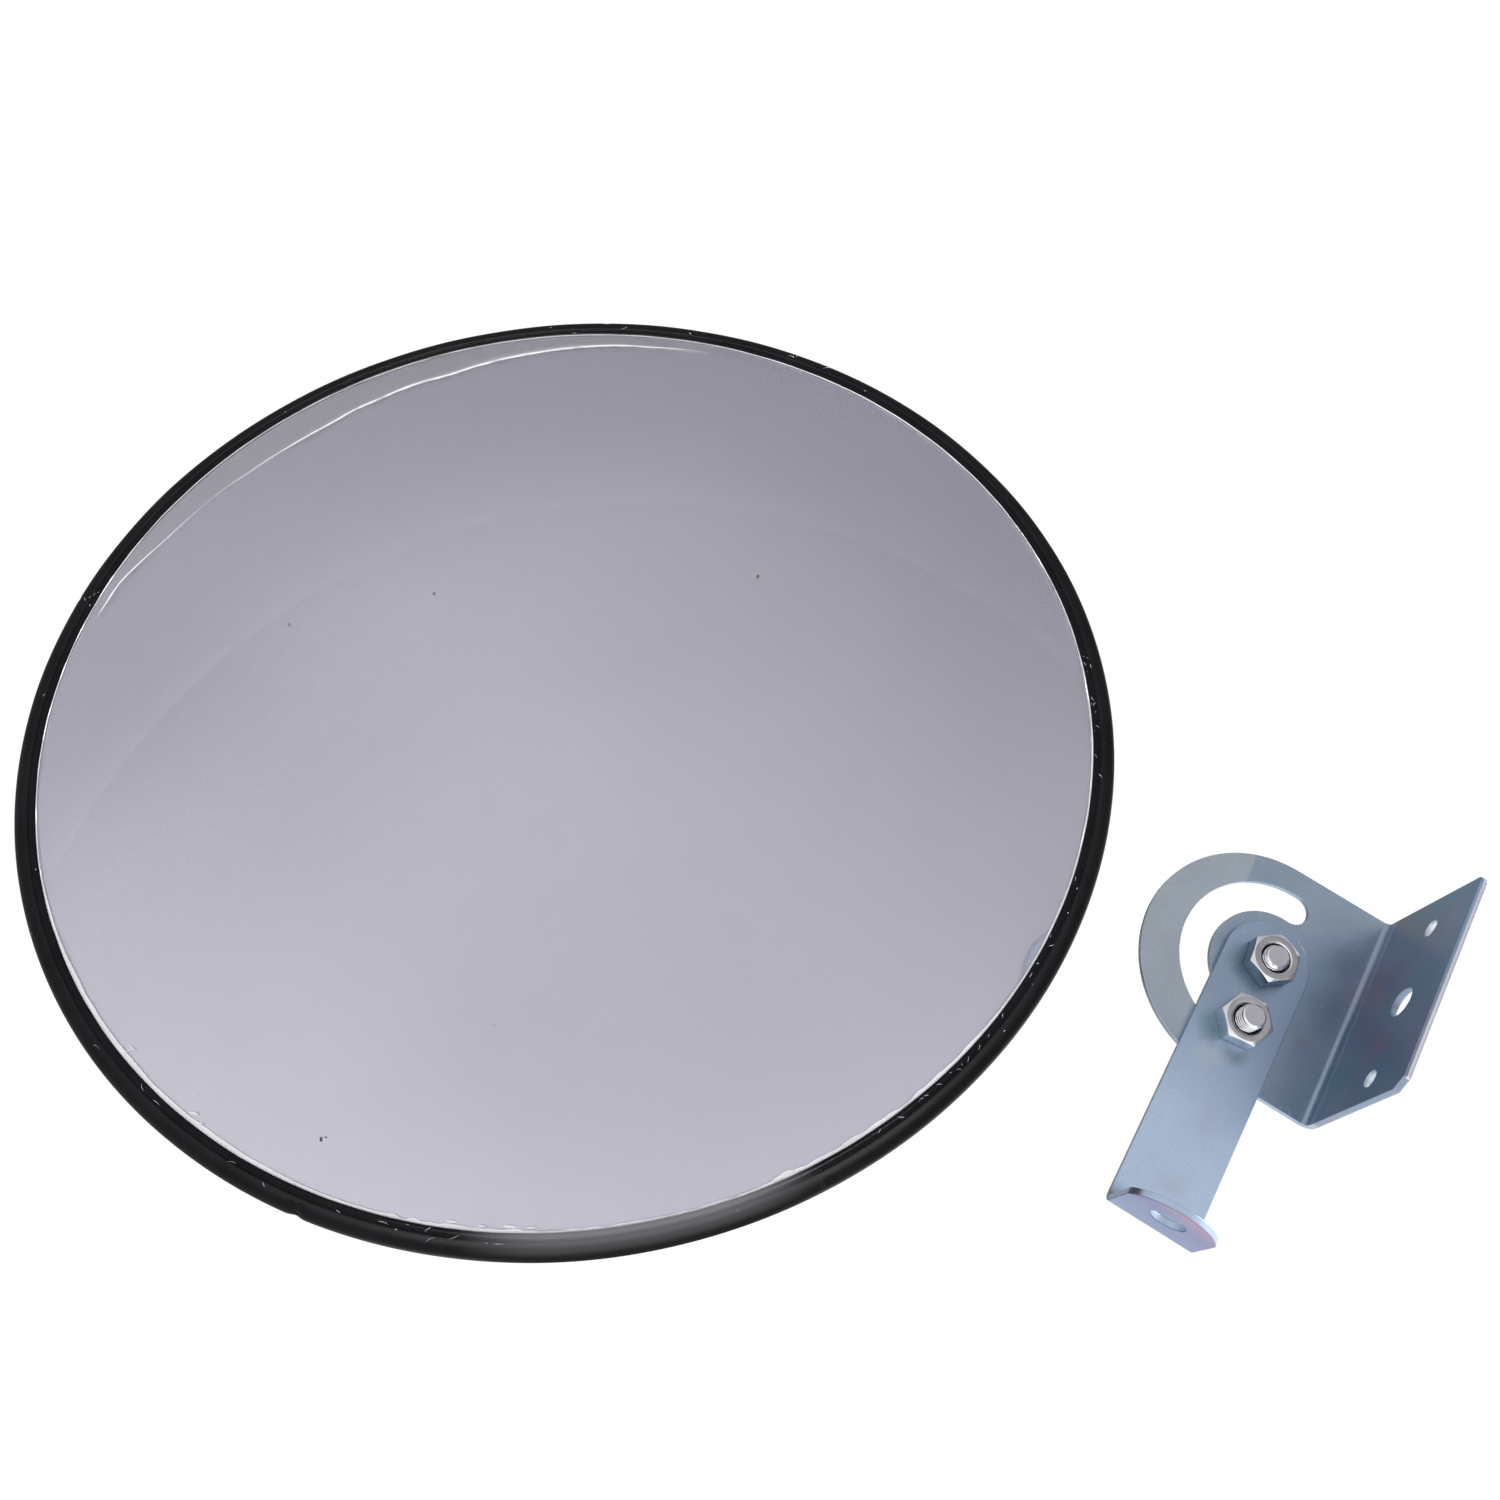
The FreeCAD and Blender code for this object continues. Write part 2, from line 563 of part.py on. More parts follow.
def mirror_dome():
    """Acrylic cap of constant thickness with a flat edge."""
    body = new_body("mirror_dome")
    sketch = new_sketch(body, "dome_profile", "XZ_Plane")
    face_radius, sheet_radius = size["face_radius"], size["sheet_radius"]
    front, back, sphere_z = size["acrylic_front"], size["acrylic_back"], size["sphere_z"]
    root_radius = math.sqrt(size["dome_inner_radius"] ** 2 - (back - sphere_z) ** 2)
    inner, outer = cap_arcs(sketch, "dome_inner_radius", "dome_outer_radius",
                            math.atan2(back - sphere_z, root_radius),
                            math.atan2(front - sphere_z, face_radius))
    edge_front = line(sketch, (face_radius, front), (sheet_radius, front))
    edge_side = line(sketch, (sheet_radius, front), (sheet_radius, back))
    edge_back = line(sketch, (sheet_radius, back), (root_radius, back))
    constrain(sketch, "Coincident", outer, START, edge_front, START)
    constrain(sketch, "Coincident", edge_front, END, edge_side, START)
    constrain(sketch, "Coincident", edge_side, END, edge_back, START)
    constrain(sketch, "Coincident", edge_back, END, inner, START)
    constrain(sketch, "Horizontal", edge_front)
    constrain(sketch, "Vertical", edge_side)
    constrain(sketch, "Horizontal", edge_back)
    bind(sketch, "DistanceY", (*ORIGIN, edge_front, START), "edge_front", "acrylic_front")
    bind(sketch, "DistanceY", (*ORIGIN, edge_back, START), "edge_back", "acrylic_back")
    bind(sketch, "DistanceX", (*ORIGIN, edge_side, START), "edge_radius", "sheet_radius")
    revolve(body, sketch, "dome_turn")
    body.Placement = UNIT


def protective_film():
    """Thin cap just in front of the dome, its rim cut along the sphere's radius."""
    body = new_body("protective_film")
    sketch = new_sketch(body, "film_profile", "XZ_Plane")
    angle = math.acos(size["film_radius"] / size["film_outer_radius"])
    inner, outer = cap_arcs(sketch, "film_inner_radius", "film_outer_radius", angle, angle)
    outer_end, inner_end = (
        (size[alias] * math.cos(angle), size["sphere_z"] + size[alias] * math.sin(angle))
        for alias in ("film_outer_radius", "film_inner_radius"))
    rim = line(sketch, outer_end, inner_end)
    constrain(sketch, "Coincident", outer, START, rim, START)
    constrain(sketch, "Coincident", inner, START, rim, END)
    bind(sketch, "DistanceX", (*ORIGIN, rim, START), "rim_radius", "film_radius")
    bind(sketch, "DistanceX", (*ORIGIN, rim, END), "rim_inner", "film_inner_rim")
    revolve(body, sketch, "film_turn")
    body.Placement = UNIT


def holed_disc(body, name, back, dia, gauge):
    """A disc from z = back forwards, with the insert's hole in the middle."""
    sketch = new_sketch(body, name + "_outline", "XY_Plane", back)
    circle(sketch, name, None, None, dia)
    circle(sketch, "insert_hole", None, None, "insert_barrel")
    return pad(body, sketch, name + "_disc", gauge)


def rivet_holes(body, name):
    """One rivet hole, then the ring of them."""
    sketch = new_sketch(body, name + "_rivet_sketch", "XY_Plane")
    ring_radius = size["rivet_circle"] / 2
    hole = sketch.addGeometry(
        Part.Circle(V(ring_radius, 0, 0), Z, size["rivet_dia"] / 2), False)
    number = constrain(sketch, "DistanceX", *ORIGIN, hole, CENTRE, ring_radius)
    sketch.renameConstraint(number, "rivet_x")
    sketch.setExpression("Constraints.rivet_x", "dims.rivet_circle / 2")
    constrain(sketch, "PointOnObject", hole, CENTRE, H_AXIS)
    bind(sketch, "Diameter", (hole,), "rivet_dia", "rivet_dia")
    first = cut_through(body, sketch, name + "_rivet_hole")
    pattern = body.newObject("PartDesign::PolarPattern", name + "_rivet_holes")
    pattern.Originals = [first]
    pattern.Axis = (sketch, ["N_Axis"])
    pattern.Angle = 360
    pattern.Occurrences = RIVET_COUNT
    body.Tip = pattern
    doc.recompute()


def backing_board():
    """Flat disc behind the acrylic."""
    body = new_body("backing_board")
    holed_disc(body, "board", "board_back", "sheet_dia", "board_gauge")
    rivet_holes(body, "board")
    body.Placement = UNIT


def mounting_plate():
    """Round steel plate riveted to the board's back, its rear rim rounded."""
    body = new_body("mounting_plate")
    disc = holed_disc(body, "plate", "mount_plate_back", "mount_plate_dia",
                      "mount_plate_gauge")
    rim_length = math.pi * size["mount_plate_dia"]
    rim = edge_names(body.Shape, lambda edge: (
        abs(edge.Vertexes[0].Z - size["mount_plate_back"]) < TOLERANCE
        and abs(edge.Length - rim_length) < 0.01))
    dress(body, disc, "plate_edge", "Fillet", rim, "mount_plate_round")
    rivet_holes(body, "plate")
    body.Placement = UNIT


def lathe(label, name, corners):
    """A ring turned from a polygon of (radius, height) aliases."""
    body = new_body(label)
    sketch = new_sketch(body, name + "_profile", "XZ_Plane")
    polygon(sketch, name, corners)
    revolve(body, sketch, name + "_turn")
    body.Placement = UNIT


def threaded_insert():
    """Flanged M6 tee nut through board and plate; its flange seats on the board's front."""
    lathe("threaded_insert", "insert", [
        ("insert_bore_radius", "mount_plate_back"),
        ("insert_barrel_radius", "mount_plate_back"),
        ("insert_barrel_radius", "acrylic_back"),
        ("insert_flange_radius", "acrylic_back"),
        ("insert_flange_radius", "insert_flange_front"),
        ("insert_barrel_radius", "insert_flange_front"),
        ("insert_barrel_radius", "insert_front"),
        ("insert_bore_radius", "insert_front")])


def edge_trim():
    """Rubber channel that grips acrylic and board, with bevelled lips."""
    lathe("edge_trim", "trim", [
        ("sheet_radius", "board_back"),
        ("sheet_radius", "acrylic_front"),
        ("face_radius", "acrylic_front"),
        ("face_radius", "lip_front"),
        ("lip_bevel_radius", "trim_front"),
        ("trim_shoulder_radius", "trim_front"),
        ("mirror_radius", "trim_front_shoulder"),
        ("mirror_radius", "trim_back_shoulder"),
        ("trim_shoulder_radius", "trim_back"),
        ("lip_bevel_radius", "trim_back"),
        ("face_radius", "lip_back"),
        ("face_radius", "board_back")])


def mounting_plate_rivets():
    """Pop rivets through plate and board, domed at the back, one solid each."""
    back, front = size["mount_plate_back"], size["acrylic_back"]
    head_radius, head_height = size["rivet_head_dia"] / 2, size["rivet_head_height"]
    ball_radius = (head_radius ** 2 + head_height ** 2) / (2 * head_height)
    ring_radius = size["rivet_circle"] / 2
    rivets = []
    for k in range(RIVET_COUNT):
        angle = 2 * math.pi * k / RIVET_COUNT
        x, y = ring_radius * math.cos(angle), ring_radius * math.sin(angle)
        shank = Part.makeCylinder(size["rivet_dia"] / 2,
                                  front - back + size["rivet_shank_proud"], V(x, y, back), Z)
        head_back = back - head_height
        ball = Part.makeSphere(ball_radius, V(x, y, head_back + ball_radius))
        head = ball.common(Part.makeCylinder(head_radius, head_height, V(x, y, head_back), Z))
        tail = Part.makeCone(size["rivet_tail_dia"] / 2, size["rivet_tail_tip_dia"] / 2,
                             size["rivet_tail_height"], V(x, y, front), Z)
        rivets.append(shank.fuse([head, tail]).removeSplitter())
    rivet_set = doc.addObject("Part::Feature", "mounting_plate_rivet_set")
    rivet_set.Shape = Part.makeCompound(rivets)
    rivet_set.Placement = UNIT
    keep(rivet_set, "mounting_plate_rivets")


def mounting_spring_washer():
    """A flat ring with a gap."""
    outer, inner = size["spring_washer_dia"] / 2, size["washer_hole"] / 2
    gauge = size["spring_washer_gauge"]
    section = Part.Face(Part.makePolygon([
        V(inner, 0, 0), V(outer, 0, 0), V(outer, 0, gauge), V(inner, 0, gauge),
        V(inner, 0, 0)]))
    spring = doc.addObject("Part::Feature", "mounting_spring_washer_ring")
    spring.Shape = section.revolve(V(0, 0, 0), Z, 360 - size["spring_washer_gap"])
    spring.Placement = in_unit(size["spring_washer_back"], size["spring_washer_turn"])
    keep(spring, "mounting_spring_washer")


def mounting_hardware():
    """Bolt, spring washer and flat washer, waiting in the insert with room
    for the arm's tab between the flat washer and the mounting plate."""
    washer("mounting_washer", in_unit(size["mounting_washer_back"]))
    mounting_spring_washer()
    bolt("mounting_bolt", "mounting_bolt_length",
         in_unit(size["spring_washer_back"], size["mounting_bolt_turn"]))


# ---------------------------------------------------------------- build, write
wall_plate()
swing_arm()
bracket_hardware()
mirror_dome()
protective_film()
backing_board()
mounting_plate()
threaded_insert()
edge_trim()
mounting_plate_rivets()
mounting_hardware()

doc.recompute()
for obj in doc.Objects:
    for flag in ("Invalid", "Error"):
        if flag in obj.State:
            raise RuntimeError("%s is %s" % (obj.Name, flag))
for part in parts:
    if part.Shape.isNull() or not part.Shape.isValid() or not part.Shape.Solids:
        raise RuntimeError(part.Label + " has no valid solid")
os.makedirs("parts", exist_ok=True)
for part in parts:
    part.Shape.exportStep("parts/%s.step" % part.Label)
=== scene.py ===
# A convex mirror in a black rubber edge trim, its protective film still on, carried by a
# two-part zinc bracket. The scene frame has +Z up and the mirror looks roughly along +X.
# The wall plate has a flange in the plane y = 0 and a leg facing +X; the swing arm lies on
# the leg and hangs down from it. The mirror unit is on the -Y side.
# Geometry is worked out in mm, and materials read positions in metres.
import math

import bpy
import bmesh
import numpy as np
from mathutils import Matrix, Vector


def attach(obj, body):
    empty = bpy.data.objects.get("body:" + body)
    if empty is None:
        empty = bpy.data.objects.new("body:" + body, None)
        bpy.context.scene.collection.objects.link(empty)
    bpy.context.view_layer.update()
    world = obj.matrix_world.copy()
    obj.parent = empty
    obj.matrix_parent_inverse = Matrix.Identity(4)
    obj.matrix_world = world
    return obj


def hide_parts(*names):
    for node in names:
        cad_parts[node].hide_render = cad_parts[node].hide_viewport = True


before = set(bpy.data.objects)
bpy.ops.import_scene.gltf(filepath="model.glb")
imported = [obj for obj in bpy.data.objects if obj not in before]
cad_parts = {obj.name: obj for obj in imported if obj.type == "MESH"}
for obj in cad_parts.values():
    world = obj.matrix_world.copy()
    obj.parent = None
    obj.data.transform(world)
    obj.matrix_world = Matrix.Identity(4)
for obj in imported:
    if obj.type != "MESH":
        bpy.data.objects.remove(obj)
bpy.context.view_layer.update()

MM = 0.001

# ------------------------------------------------------------------ dimensions and frames (mm)
# Mirror unit: x to its side (about scene +Y), y up, z out of the dome; z = 0 is mid-trim.
UNIT_YAW, UNIT_PITCH = math.radians(-12.45), math.radians(2.76)
UNIT_ORIGIN = np.array([-86.06, -207.77, -10.14])
UNIT_Z = np.array([math.cos(UNIT_PITCH) * math.cos(UNIT_YAW),
                   math.cos(UNIT_PITCH) * math.sin(UNIT_YAW), math.sin(UNIT_PITCH)])
UNIT_X = np.cross([0.0, 0.0, 1.0], UNIT_Z)
UNIT_X /= np.linalg.norm(UNIT_X)
UNIT_Y = np.cross(UNIT_Z, UNIT_X)

MIRROR_THICK = 1.8
FACE_RADIUS, DOME_RISE = 144.0, 29.0
DOME_RADIUS = (FACE_RADIUS ** 2 + DOME_RISE ** 2) / (2 * DOME_RISE)
DOME_CENTRE_Z = MIRROR_THICK + DOME_RISE - DOME_RADIUS
DOME_LIMIT = 143.9          # film heights follow the dome out to this radius
FILM_GAP = 0.12             # film underside above the dome

PLATE, WASHER_THICK, NUT_HEIGHT = 1.6, 1.6, 5.0
PIVOT = np.array([-23.6, -24.9, 2.2])       # on the face where leg and arm meet
CLAMP = PIVOT - [0, 0, 17.0]
BOLT_SEAT_X = PIVOT[0] - PLATE - WASHER_THICK
NUT_SEAT_X = PIVOT[0] + PLATE
GRIP = WASHER_THICK + 2 * PLATE + NUT_HEIGHT
PIVOT_LENGTH, CLAMP_LENGTH = GRIP + 1.0, GRIP + 3.1


def unit_to_scene(points):
    """Mirror-unit points (n, 3) in mm to the scene in metres."""
    p = np.asarray(points, float)
    return (UNIT_ORIGIN + p[:, :1] * UNIT_X + p[:, 1:2] * UNIT_Y + p[:, 2:3] * UNIT_Z) * MM


def turn(points, degrees):
    """Columns x, y, z of the points turned about z."""
    x, y, z = np.asarray(points, float).T
    c, s = math.cos(math.radians(degrees)), math.sin(math.radians(degrees))
    return x * c - y * s, x * s + y * c, z


def on_unit_axis(degrees, z):
    """Placer: turned about the mirror unit's axis, its origin at height z."""
    return lambda points: unit_to_scene(
        np.column_stack(turn(np.asarray(points, float) + [0, 0, z], degrees)))


def along_x(x, centre, degrees):
    """Placer: local z along scene +X, at the given x on the centre's axis."""
    def place(points):
        a, b, along = turn(points, degrees)
        return (np.column_stack([along, b, -a]) + [x, centre[1], centre[2]]) * MM
    return place


def dome_z(radius, off=0.0):
    """Height of a sphere standing `off` outside the dome's front."""
    return DOME_CENTRE_Z + np.sqrt((DOME_RADIUS + off) ** 2 - np.asarray(radius, float) ** 2)


def film_z(radius, off):
    return dome_z(np.minimum(radius, DOME_LIMIT), off)


# ------------------------------------------------------------------ meshes
def piece(name, vertices, faces, body, slot, materials, sharp, node=None, face_materials=None):
    """Smooth-shaded object from scene vertices, riding on body and standing for a CAD node."""
    me = bpy.data.meshes.new(name)
    me.from_pydata([tuple(v) for v in vertices], [], [tuple(f) for f in faces])
    me.validate()
    for material in materials:
        me.materials.append(material)
    if face_materials is not None:
        me.polygons.foreach_set("material_index", np.asarray(face_materials, np.int32))
    me.shade_smooth()
    me.set_sharp_from_angle(angle=math.radians(sharp))
    bm = bmesh.new()
    bm.from_mesh(me)
    bmesh.ops.recalc_face_normals(bm, faces=bm.faces)
    bm.to_mesh(me)
    bm.free()
    me.update()
    ob = bpy.data.objects.new(name, me)
    bpy.context.scene.collection.objects.link(ob)
    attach(ob, body)
    if node:
        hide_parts(node)
    return ob


def unit_piece(name, mesh, slot, *materials, **options):
    vertices, faces = mesh
    return piece(name, unit_to_scene(vertices), faces, "mirror", slot, materials, **options)


def grid_faces(rows, cols, closed=False):
    """Quads between rings of cols vertices; closed joins the last ring to the first."""
    faces = []
    for i in range(rows if closed else rows - 1):
        a, b = i * cols, (i + 1) % rows * cols
        for j in range(cols):
            k = (j + 1) % cols
            faces.append((a + j, a + k, b + k, b + j))
    return faces


def cap(row, cols):
    return tuple(row * cols + j for j in range(cols))


def tube_faces(rows, cols):
    """Grid with both ends capped."""
    return grid_faces(rows, cols) + [cap(0, cols)[::-1], cap(rows - 1, cols)]


def around(cols):
    return np.arange(cols) * 2 * math.pi / cols


def ring_points(rows, cols):
    """Vertices of rings (radius, z), each a number or one value per column."""
    angles = around(cols)
    rings = []
    for radius, z in rows:
        radius = np.broadcast_to(np.asarray(radius, float), (cols,))
        z = np.broadcast_to(np.asarray(z, float), (cols,))
        rings.append(np.column_stack([radius * np.cos(angles), radius * np.sin(angles), z]))
    return np.concatenate(rings)


def closed_lathe(rows, cols):
    return ring_points(rows, cols), grid_faces(len(rows), cols, closed=True)


def merge(parts):
    vertices, faces, base = [], [], 0
    for part_vertices, part_faces in parts:
        vertices.append(np.asarray(part_vertices, float))
        faces += [tuple(i + base for i in face) for face in part_faces]
        base += len(part_vertices)
    return np.concatenate(vertices), faces


def smooth01(x):
    x = np.clip(x, 0, 1)
    return x * x * (3 - 2 * x)


def curve(x, *points):
    """Straight lines through (x, value) points."""
    return np.interp(x, *zip(*points))


def ripple(angles, waves, seed):
    """A smooth closed random curve over the angles, about -1..1."""
    rand = np.random.default_rng(seed)
    out = np.zeros_like(angles)
    for k in waves:
        out += (rand.uniform(0.4, 1.0) * np.sin(k * angles + rand.uniform(0, 6.283))
                / math.sqrt(len(waves)))
    return out


# ------------------------------------------------------------------ node helper
class Nodes:
    """Writes the node tree of a material or world; most methods return an output socket."""

    def __init__(self, owner, output):
        owner.use_nodes = True
        self.owner = owner
        self.tree = owner.node_tree
        self.tree.nodes.clear()
        self.out = self.node(output)

    def put(self, socket, value):
        if isinstance(value, bpy.types.NodeSocket):
            self.tree.links.new(value, socket)
            return
        if isinstance(value, tuple) and socket.type == "RGBA" and len(value) == 3:
            value += (1.0,)
        socket.default_value = value

    def node(self, kind, props=None, **inputs):
        """Inputs by name with _ for space, or by index as i0, i1, ..."""
        node = self.tree.nodes.new("ShaderNode" + kind)
        for key, value in (props or {}).items():
            setattr(node, key, value)
        for key, value in inputs.items():
            by_index = key[0] == "i" and key[1:].isdigit()
            self.put(node.inputs[int(key[1:]) if by_index else key.replace("_", " ")], value)
        return node

    def math(self, op, a, b=0.0, clamp=False):
        return self.node("Math", {"operation": op, "use_clamp": clamp}, i0=a, i1=b).outputs[0]

    def add(self, total, *terms):
        for term in terms:
            total = self.math("ADD", total, term)
        return total

    def sub(self, a, b):
        return self.math("SUBTRACT", a, b)

    def mul(self, a, b):
        return self.math("MULTIPLY", a, b)

    def hypot(self, a, b):
        return self.math("SQRT", self.add(self.mul(a, a), self.mul(b, b)))

    def vmath(self, op, a, b=(0, 0, 0)):
        node = self.node("VectorMath", {"operation": op}, i0=a, i1=b)
        scalar = op in ("DOT_PRODUCT", "LENGTH", "DISTANCE")
        return node.outputs["Value" if scalar else "Vector"]

    def dot(self, a, b):
        return self.vmath("DOT_PRODUCT", a, b)

    def shift(self, vector, offset):
        return self.vmath("ADD", vector, offset)

    def stretch(self, vector, factors):
        return self.vmath("MULTIPLY", vector, factors)

    def split(self, vector):
        return self.node("SeparateXYZ", i0=vector).outputs

    def off_axis(self, vector, centre, keep):
        """Distance from centre counting only the kept axes."""
        rel = self.vmath("SUBTRACT", vector, centre)
        return self.vmath("LENGTH", self.stretch(rel, keep))

    def fade(self, value, lo, hi, to=(0, 1), smooth=True):
        """Clamped map of lo..hi onto the pair `to`."""
        kind = "SMOOTHSTEP" if smooth else "LINEAR"
        return self.node("MapRange", {"interpolation_type": kind, "clamp": True},
                         i0=value, i1=lo, i2=hi, i3=to[0], i4=to[1]).outputs[0]

    def ramp(self, fac, stops):
        """Eased colour ramp through (position, colour) stops."""
        node = self.node("ValToRGB", i0=fac)
        node.color_ramp.interpolation = "EASE"
        elements = node.color_ramp.elements
        while len(elements) < len(stops):
            elements.new(0.5)
        for element, (position, colour) in zip(elements, stops):
            element.position = position
            element.color = colour + (1.0,)
        return node.outputs["Color"]

    def mix(self, fac, a, b, blend="MIX"):
        node = self.node("Mix", {"data_type": "RGBA", "blend_type": blend, "clamp_factor": True},
                         i0=fac, i6=a, i7=b)
        return node.outputs[2]

    def paint(self, under, mask, colour, amount=None):
        """Lay a linear RGB colour over `under` where the mask is 1, at a strength of amount."""
        return self.mix(mask if amount is None else self.mul(mask, amount), under, colour)

    def mottle(self, noise, dark, light):
        return self.mix(self.fade(noise, lo=0.3, hi=0.7), dark, light)

    def noise(self, vector, scale, detail=4, rough=0.5, distort=0, output="Fac"):
        return self.node("TexNoise", Vector=vector, Scale=scale, Detail=detail,
                         Roughness=rough, Distortion=distort).outputs[output]

    def position(self):
        return self.node("TexCoord").outputs["Object"]

    def blob(self, vector, centre, radius, inner=0):
        """1 within `inner` of a scene place, falling smoothly to 0 at radius (mm)."""
        away = self.vmath("DISTANCE", vector, tuple(c * MM for c in centre))
        return self.fade(away, lo=inner * MM, hi=radius * MM, to=(1, 0))

    def unit_coords(self, vector, *axes):
        """Coordinates in metres along the given mirror-unit axes."""
        rel = self.vmath("SUBTRACT", vector, tuple(UNIT_ORIGIN * MM))
        return [self.dot(rel, tuple(axis)) for axis in axes]

    def bump(self, height, strength, distance, **normal):
        return self.node("Bump", Strength=strength, Distance=distance, Height=height,
                         **normal).outputs["Normal"]

    def mix_shader(self, fac, a, b):
        return self.node("MixShader", i0=fac, i1=a, i2=b).outputs[0]

    def finish(self, shader):
        self.put(self.out.inputs["Surface"], shader)
        return self.owner

    def principled(self, **inputs):
        return self.finish(self.node("BsdfPrincipled", **inputs).outputs[0])


def new_material(name):
    mat = Nodes(bpy.data.materials.new(name), "OutputMaterial")
    return mat, mat.position()


# ------------------------------------------------------------------ zinc sheet
def zinc_sheet(name, tint, rough, seed, zones=None, patches=(), plain_wall_side=False):
    """Bright zinc plate: satin metal with fine pits, faint clouding, rolling lines and soft
    patches: thin passivation, and on the arm painted shadows and a painted pale patch by the
    nuts. zones adds the part's own areas."""
    mat, pos = new_material(name)
    moved = mat.shift(pos, (seed, seed * 0.7, -seed))
    warp = mat.noise(moved, scale=70, detail=3, output="Color")
    warp = mat.stretch(mat.vmath("SUBTRACT", warp, (0.5, 0.5, 0.5)), (0.012, 0.012, 0.016))
    bent = mat.shift(pos, warp)
    cloud = mat.noise(moved, scale=55, detail=5, rough=0.6)
    fine = mat.noise(moved, scale=900, detail=3, rough=0.6)
    grit = mat.noise(moved, scale=2600, detail=2, rough=0.7)
    colour = mat.mix(0.0, tint, tint)
    if zones:
        colour = zones(mat, pos, colour)
    # soft patches: passivation colour, and on the arm painted shade and painted light by the nuts
    for centre, radius, shade, amount in patches:
        mask = mat.math("MULTIPLY", mat.blob(bent, centre, radius), amount, clamp=True)
        colour = mat.paint(colour, mask, shade)
    if plain_wall_side:
        wall_side = mat.fade(mat.split(pos)[1], lo=-0.0005, hi=-0.0002)
        colour = mat.paint(colour, wall_side, tint, amount=0.7)
    clouding = mat.ramp(cloud, [(0.30, (0.93, 0.93, 0.93)), (0.70, (1.0, 1.0, 1.0))])
    colour = mat.mix(1.0, colour, clouding, "MULTIPLY")
    # dark dots and pale glints
    colour = mat.paint(colour, mat.fade(grit, lo=0.60, hi=0.72), (0.10, 0.12, 0.15), amount=0.32)
    colour = mat.paint(colour, mat.fade(fine, lo=0.60, hi=0.75), (0.80, 0.84, 0.90), amount=0.22)
    # rolling lines and a few hairline scratches
    rolled = mat.node("Mapping", Vector=moved, Scale=(1, 14, 1)).outputs["Vector"]
    lines = mat.noise(rolled, scale=90, rough=0.7)
    slanted = mat.node("Mapping", Vector=moved, Scale=(1, 40, 1.6),
                       Rotation=(math.radians(31), 0, 0)).outputs["Vector"]
    scratch = mat.fade(mat.noise(slanted, scale=26, detail=2), lo=0.70, hi=0.735)
    # rough: roughness around the clouding's middle, matter in the pits
    satin = mat.add(rough - 0.05, mat.mul(cloud, 0.12),
                    mat.mul(mat.fade(fine, lo=0.5, hi=0.7), 0.06))
    satin = mat.math("SUBTRACT", satin, mat.mul(scratch, 0.10), clamp=True)
    height = mat.add(mat.mul(grit, 0.5), mat.mul(fine, 0.6), mat.mul(lines, 0.35))
    height = mat.sub(height, mat.mul(scratch, 0.5))
    normal = mat.bump(height, strength=0.28, distance=0.00006)
    waves = mat.noise(moved, scale=38, detail=2)
    normal = mat.bump(waves, strength=0.10, distance=0.0006, Normal=normal)
    return mat.principled(Base_Color=colour, Metallic=1.0, Roughness=satin, Normal=normal)


def wall_plate_zones(mat, pos, colour):
    """Leg blue-grey with a warm grey arc behind a sharp border, painted shade near the flange;
    flange darker as painted shade; painted highlights: paler bend and cut edges, bright screw
    holes."""
    x, y, z = mat.split(pos)
    slant = mat.add(y, mat.mul(z, 0.05))
    warm = mat.mul(mat.fade(slant, lo=-0.0362, hi=-0.0354, to=(1, 0)),
                   mat.fade(z, lo=-0.030, hi=-0.016, to=(0.35, 1)))
    hub = mat.off_axis(pos, tuple(PIVOT * MM), keep=(0, 1, 1))
    warm = mat.mul(warm, mat.fade(hub, lo=0.0128, hi=0.0136))
    colour = mat.paint(colour, warm, (0.500, 0.562, 0.632))
    shaded = mat.mul(mat.fade(y, lo=-0.034, hi=-0.010), mat.fade(z, lo=0.026, hi=-0.004))
    colour = mat.paint(colour, shaded, (0.24, 0.34, 0.45), amount=0.22)
    foot = mat.mul(mat.fade(y, lo=-0.034, hi=-0.018), mat.fade(z, lo=-0.010, hi=-0.024))
    colour = mat.paint(colour, foot, (0.42, 0.52, 0.65), amount=0.7)
    # painted shade: the flange face is painted darker than the leg
    flange = mat.fade(x, lo=-0.0212, hi=-0.0190)
    colour = mat.paint(colour, flange, (0.300, 0.350, 0.445))
    upper = mat.mul(flange, mat.fade(mat.add(x, z), lo=0.006, hi=0.038))
    colour = mat.paint(colour, upper, (0.290, 0.500, 0.680), amount=0.95)
    # painted highlight along the bend between leg and flange
    bend = mat.mul(mat.fade(x, lo=-0.0232, hi=-0.0222),
                   mat.fade(x, lo=-0.0206, hi=-0.0195, to=(1, 0)))
    colour = mat.paint(colour, bend, (0.50, 0.59, 0.69), amount=0.55)
    # painted highlight on the cut edge at the flange's +X end, over the half nearer the wall
    edge = mat.mul(mat.fade(x, lo=0.01505, hi=0.01520), mat.fade(y, lo=-0.00105, hi=-0.00085))
    colour = mat.paint(colour, edge, (0.92, 0.88, 0.93))
    # painted highlight on the walls of the two screw holes
    for hole_z in (-0.020, 0.020):
        away = mat.off_axis(pos, (0, 0, hole_z), keep=(1, 0, 1))
        bright = mat.fade(away, lo=0.00235, hi=0.00215)
        colour = mat.paint(colour, bright, (0.96, 0.97, 1.0))
    return colour


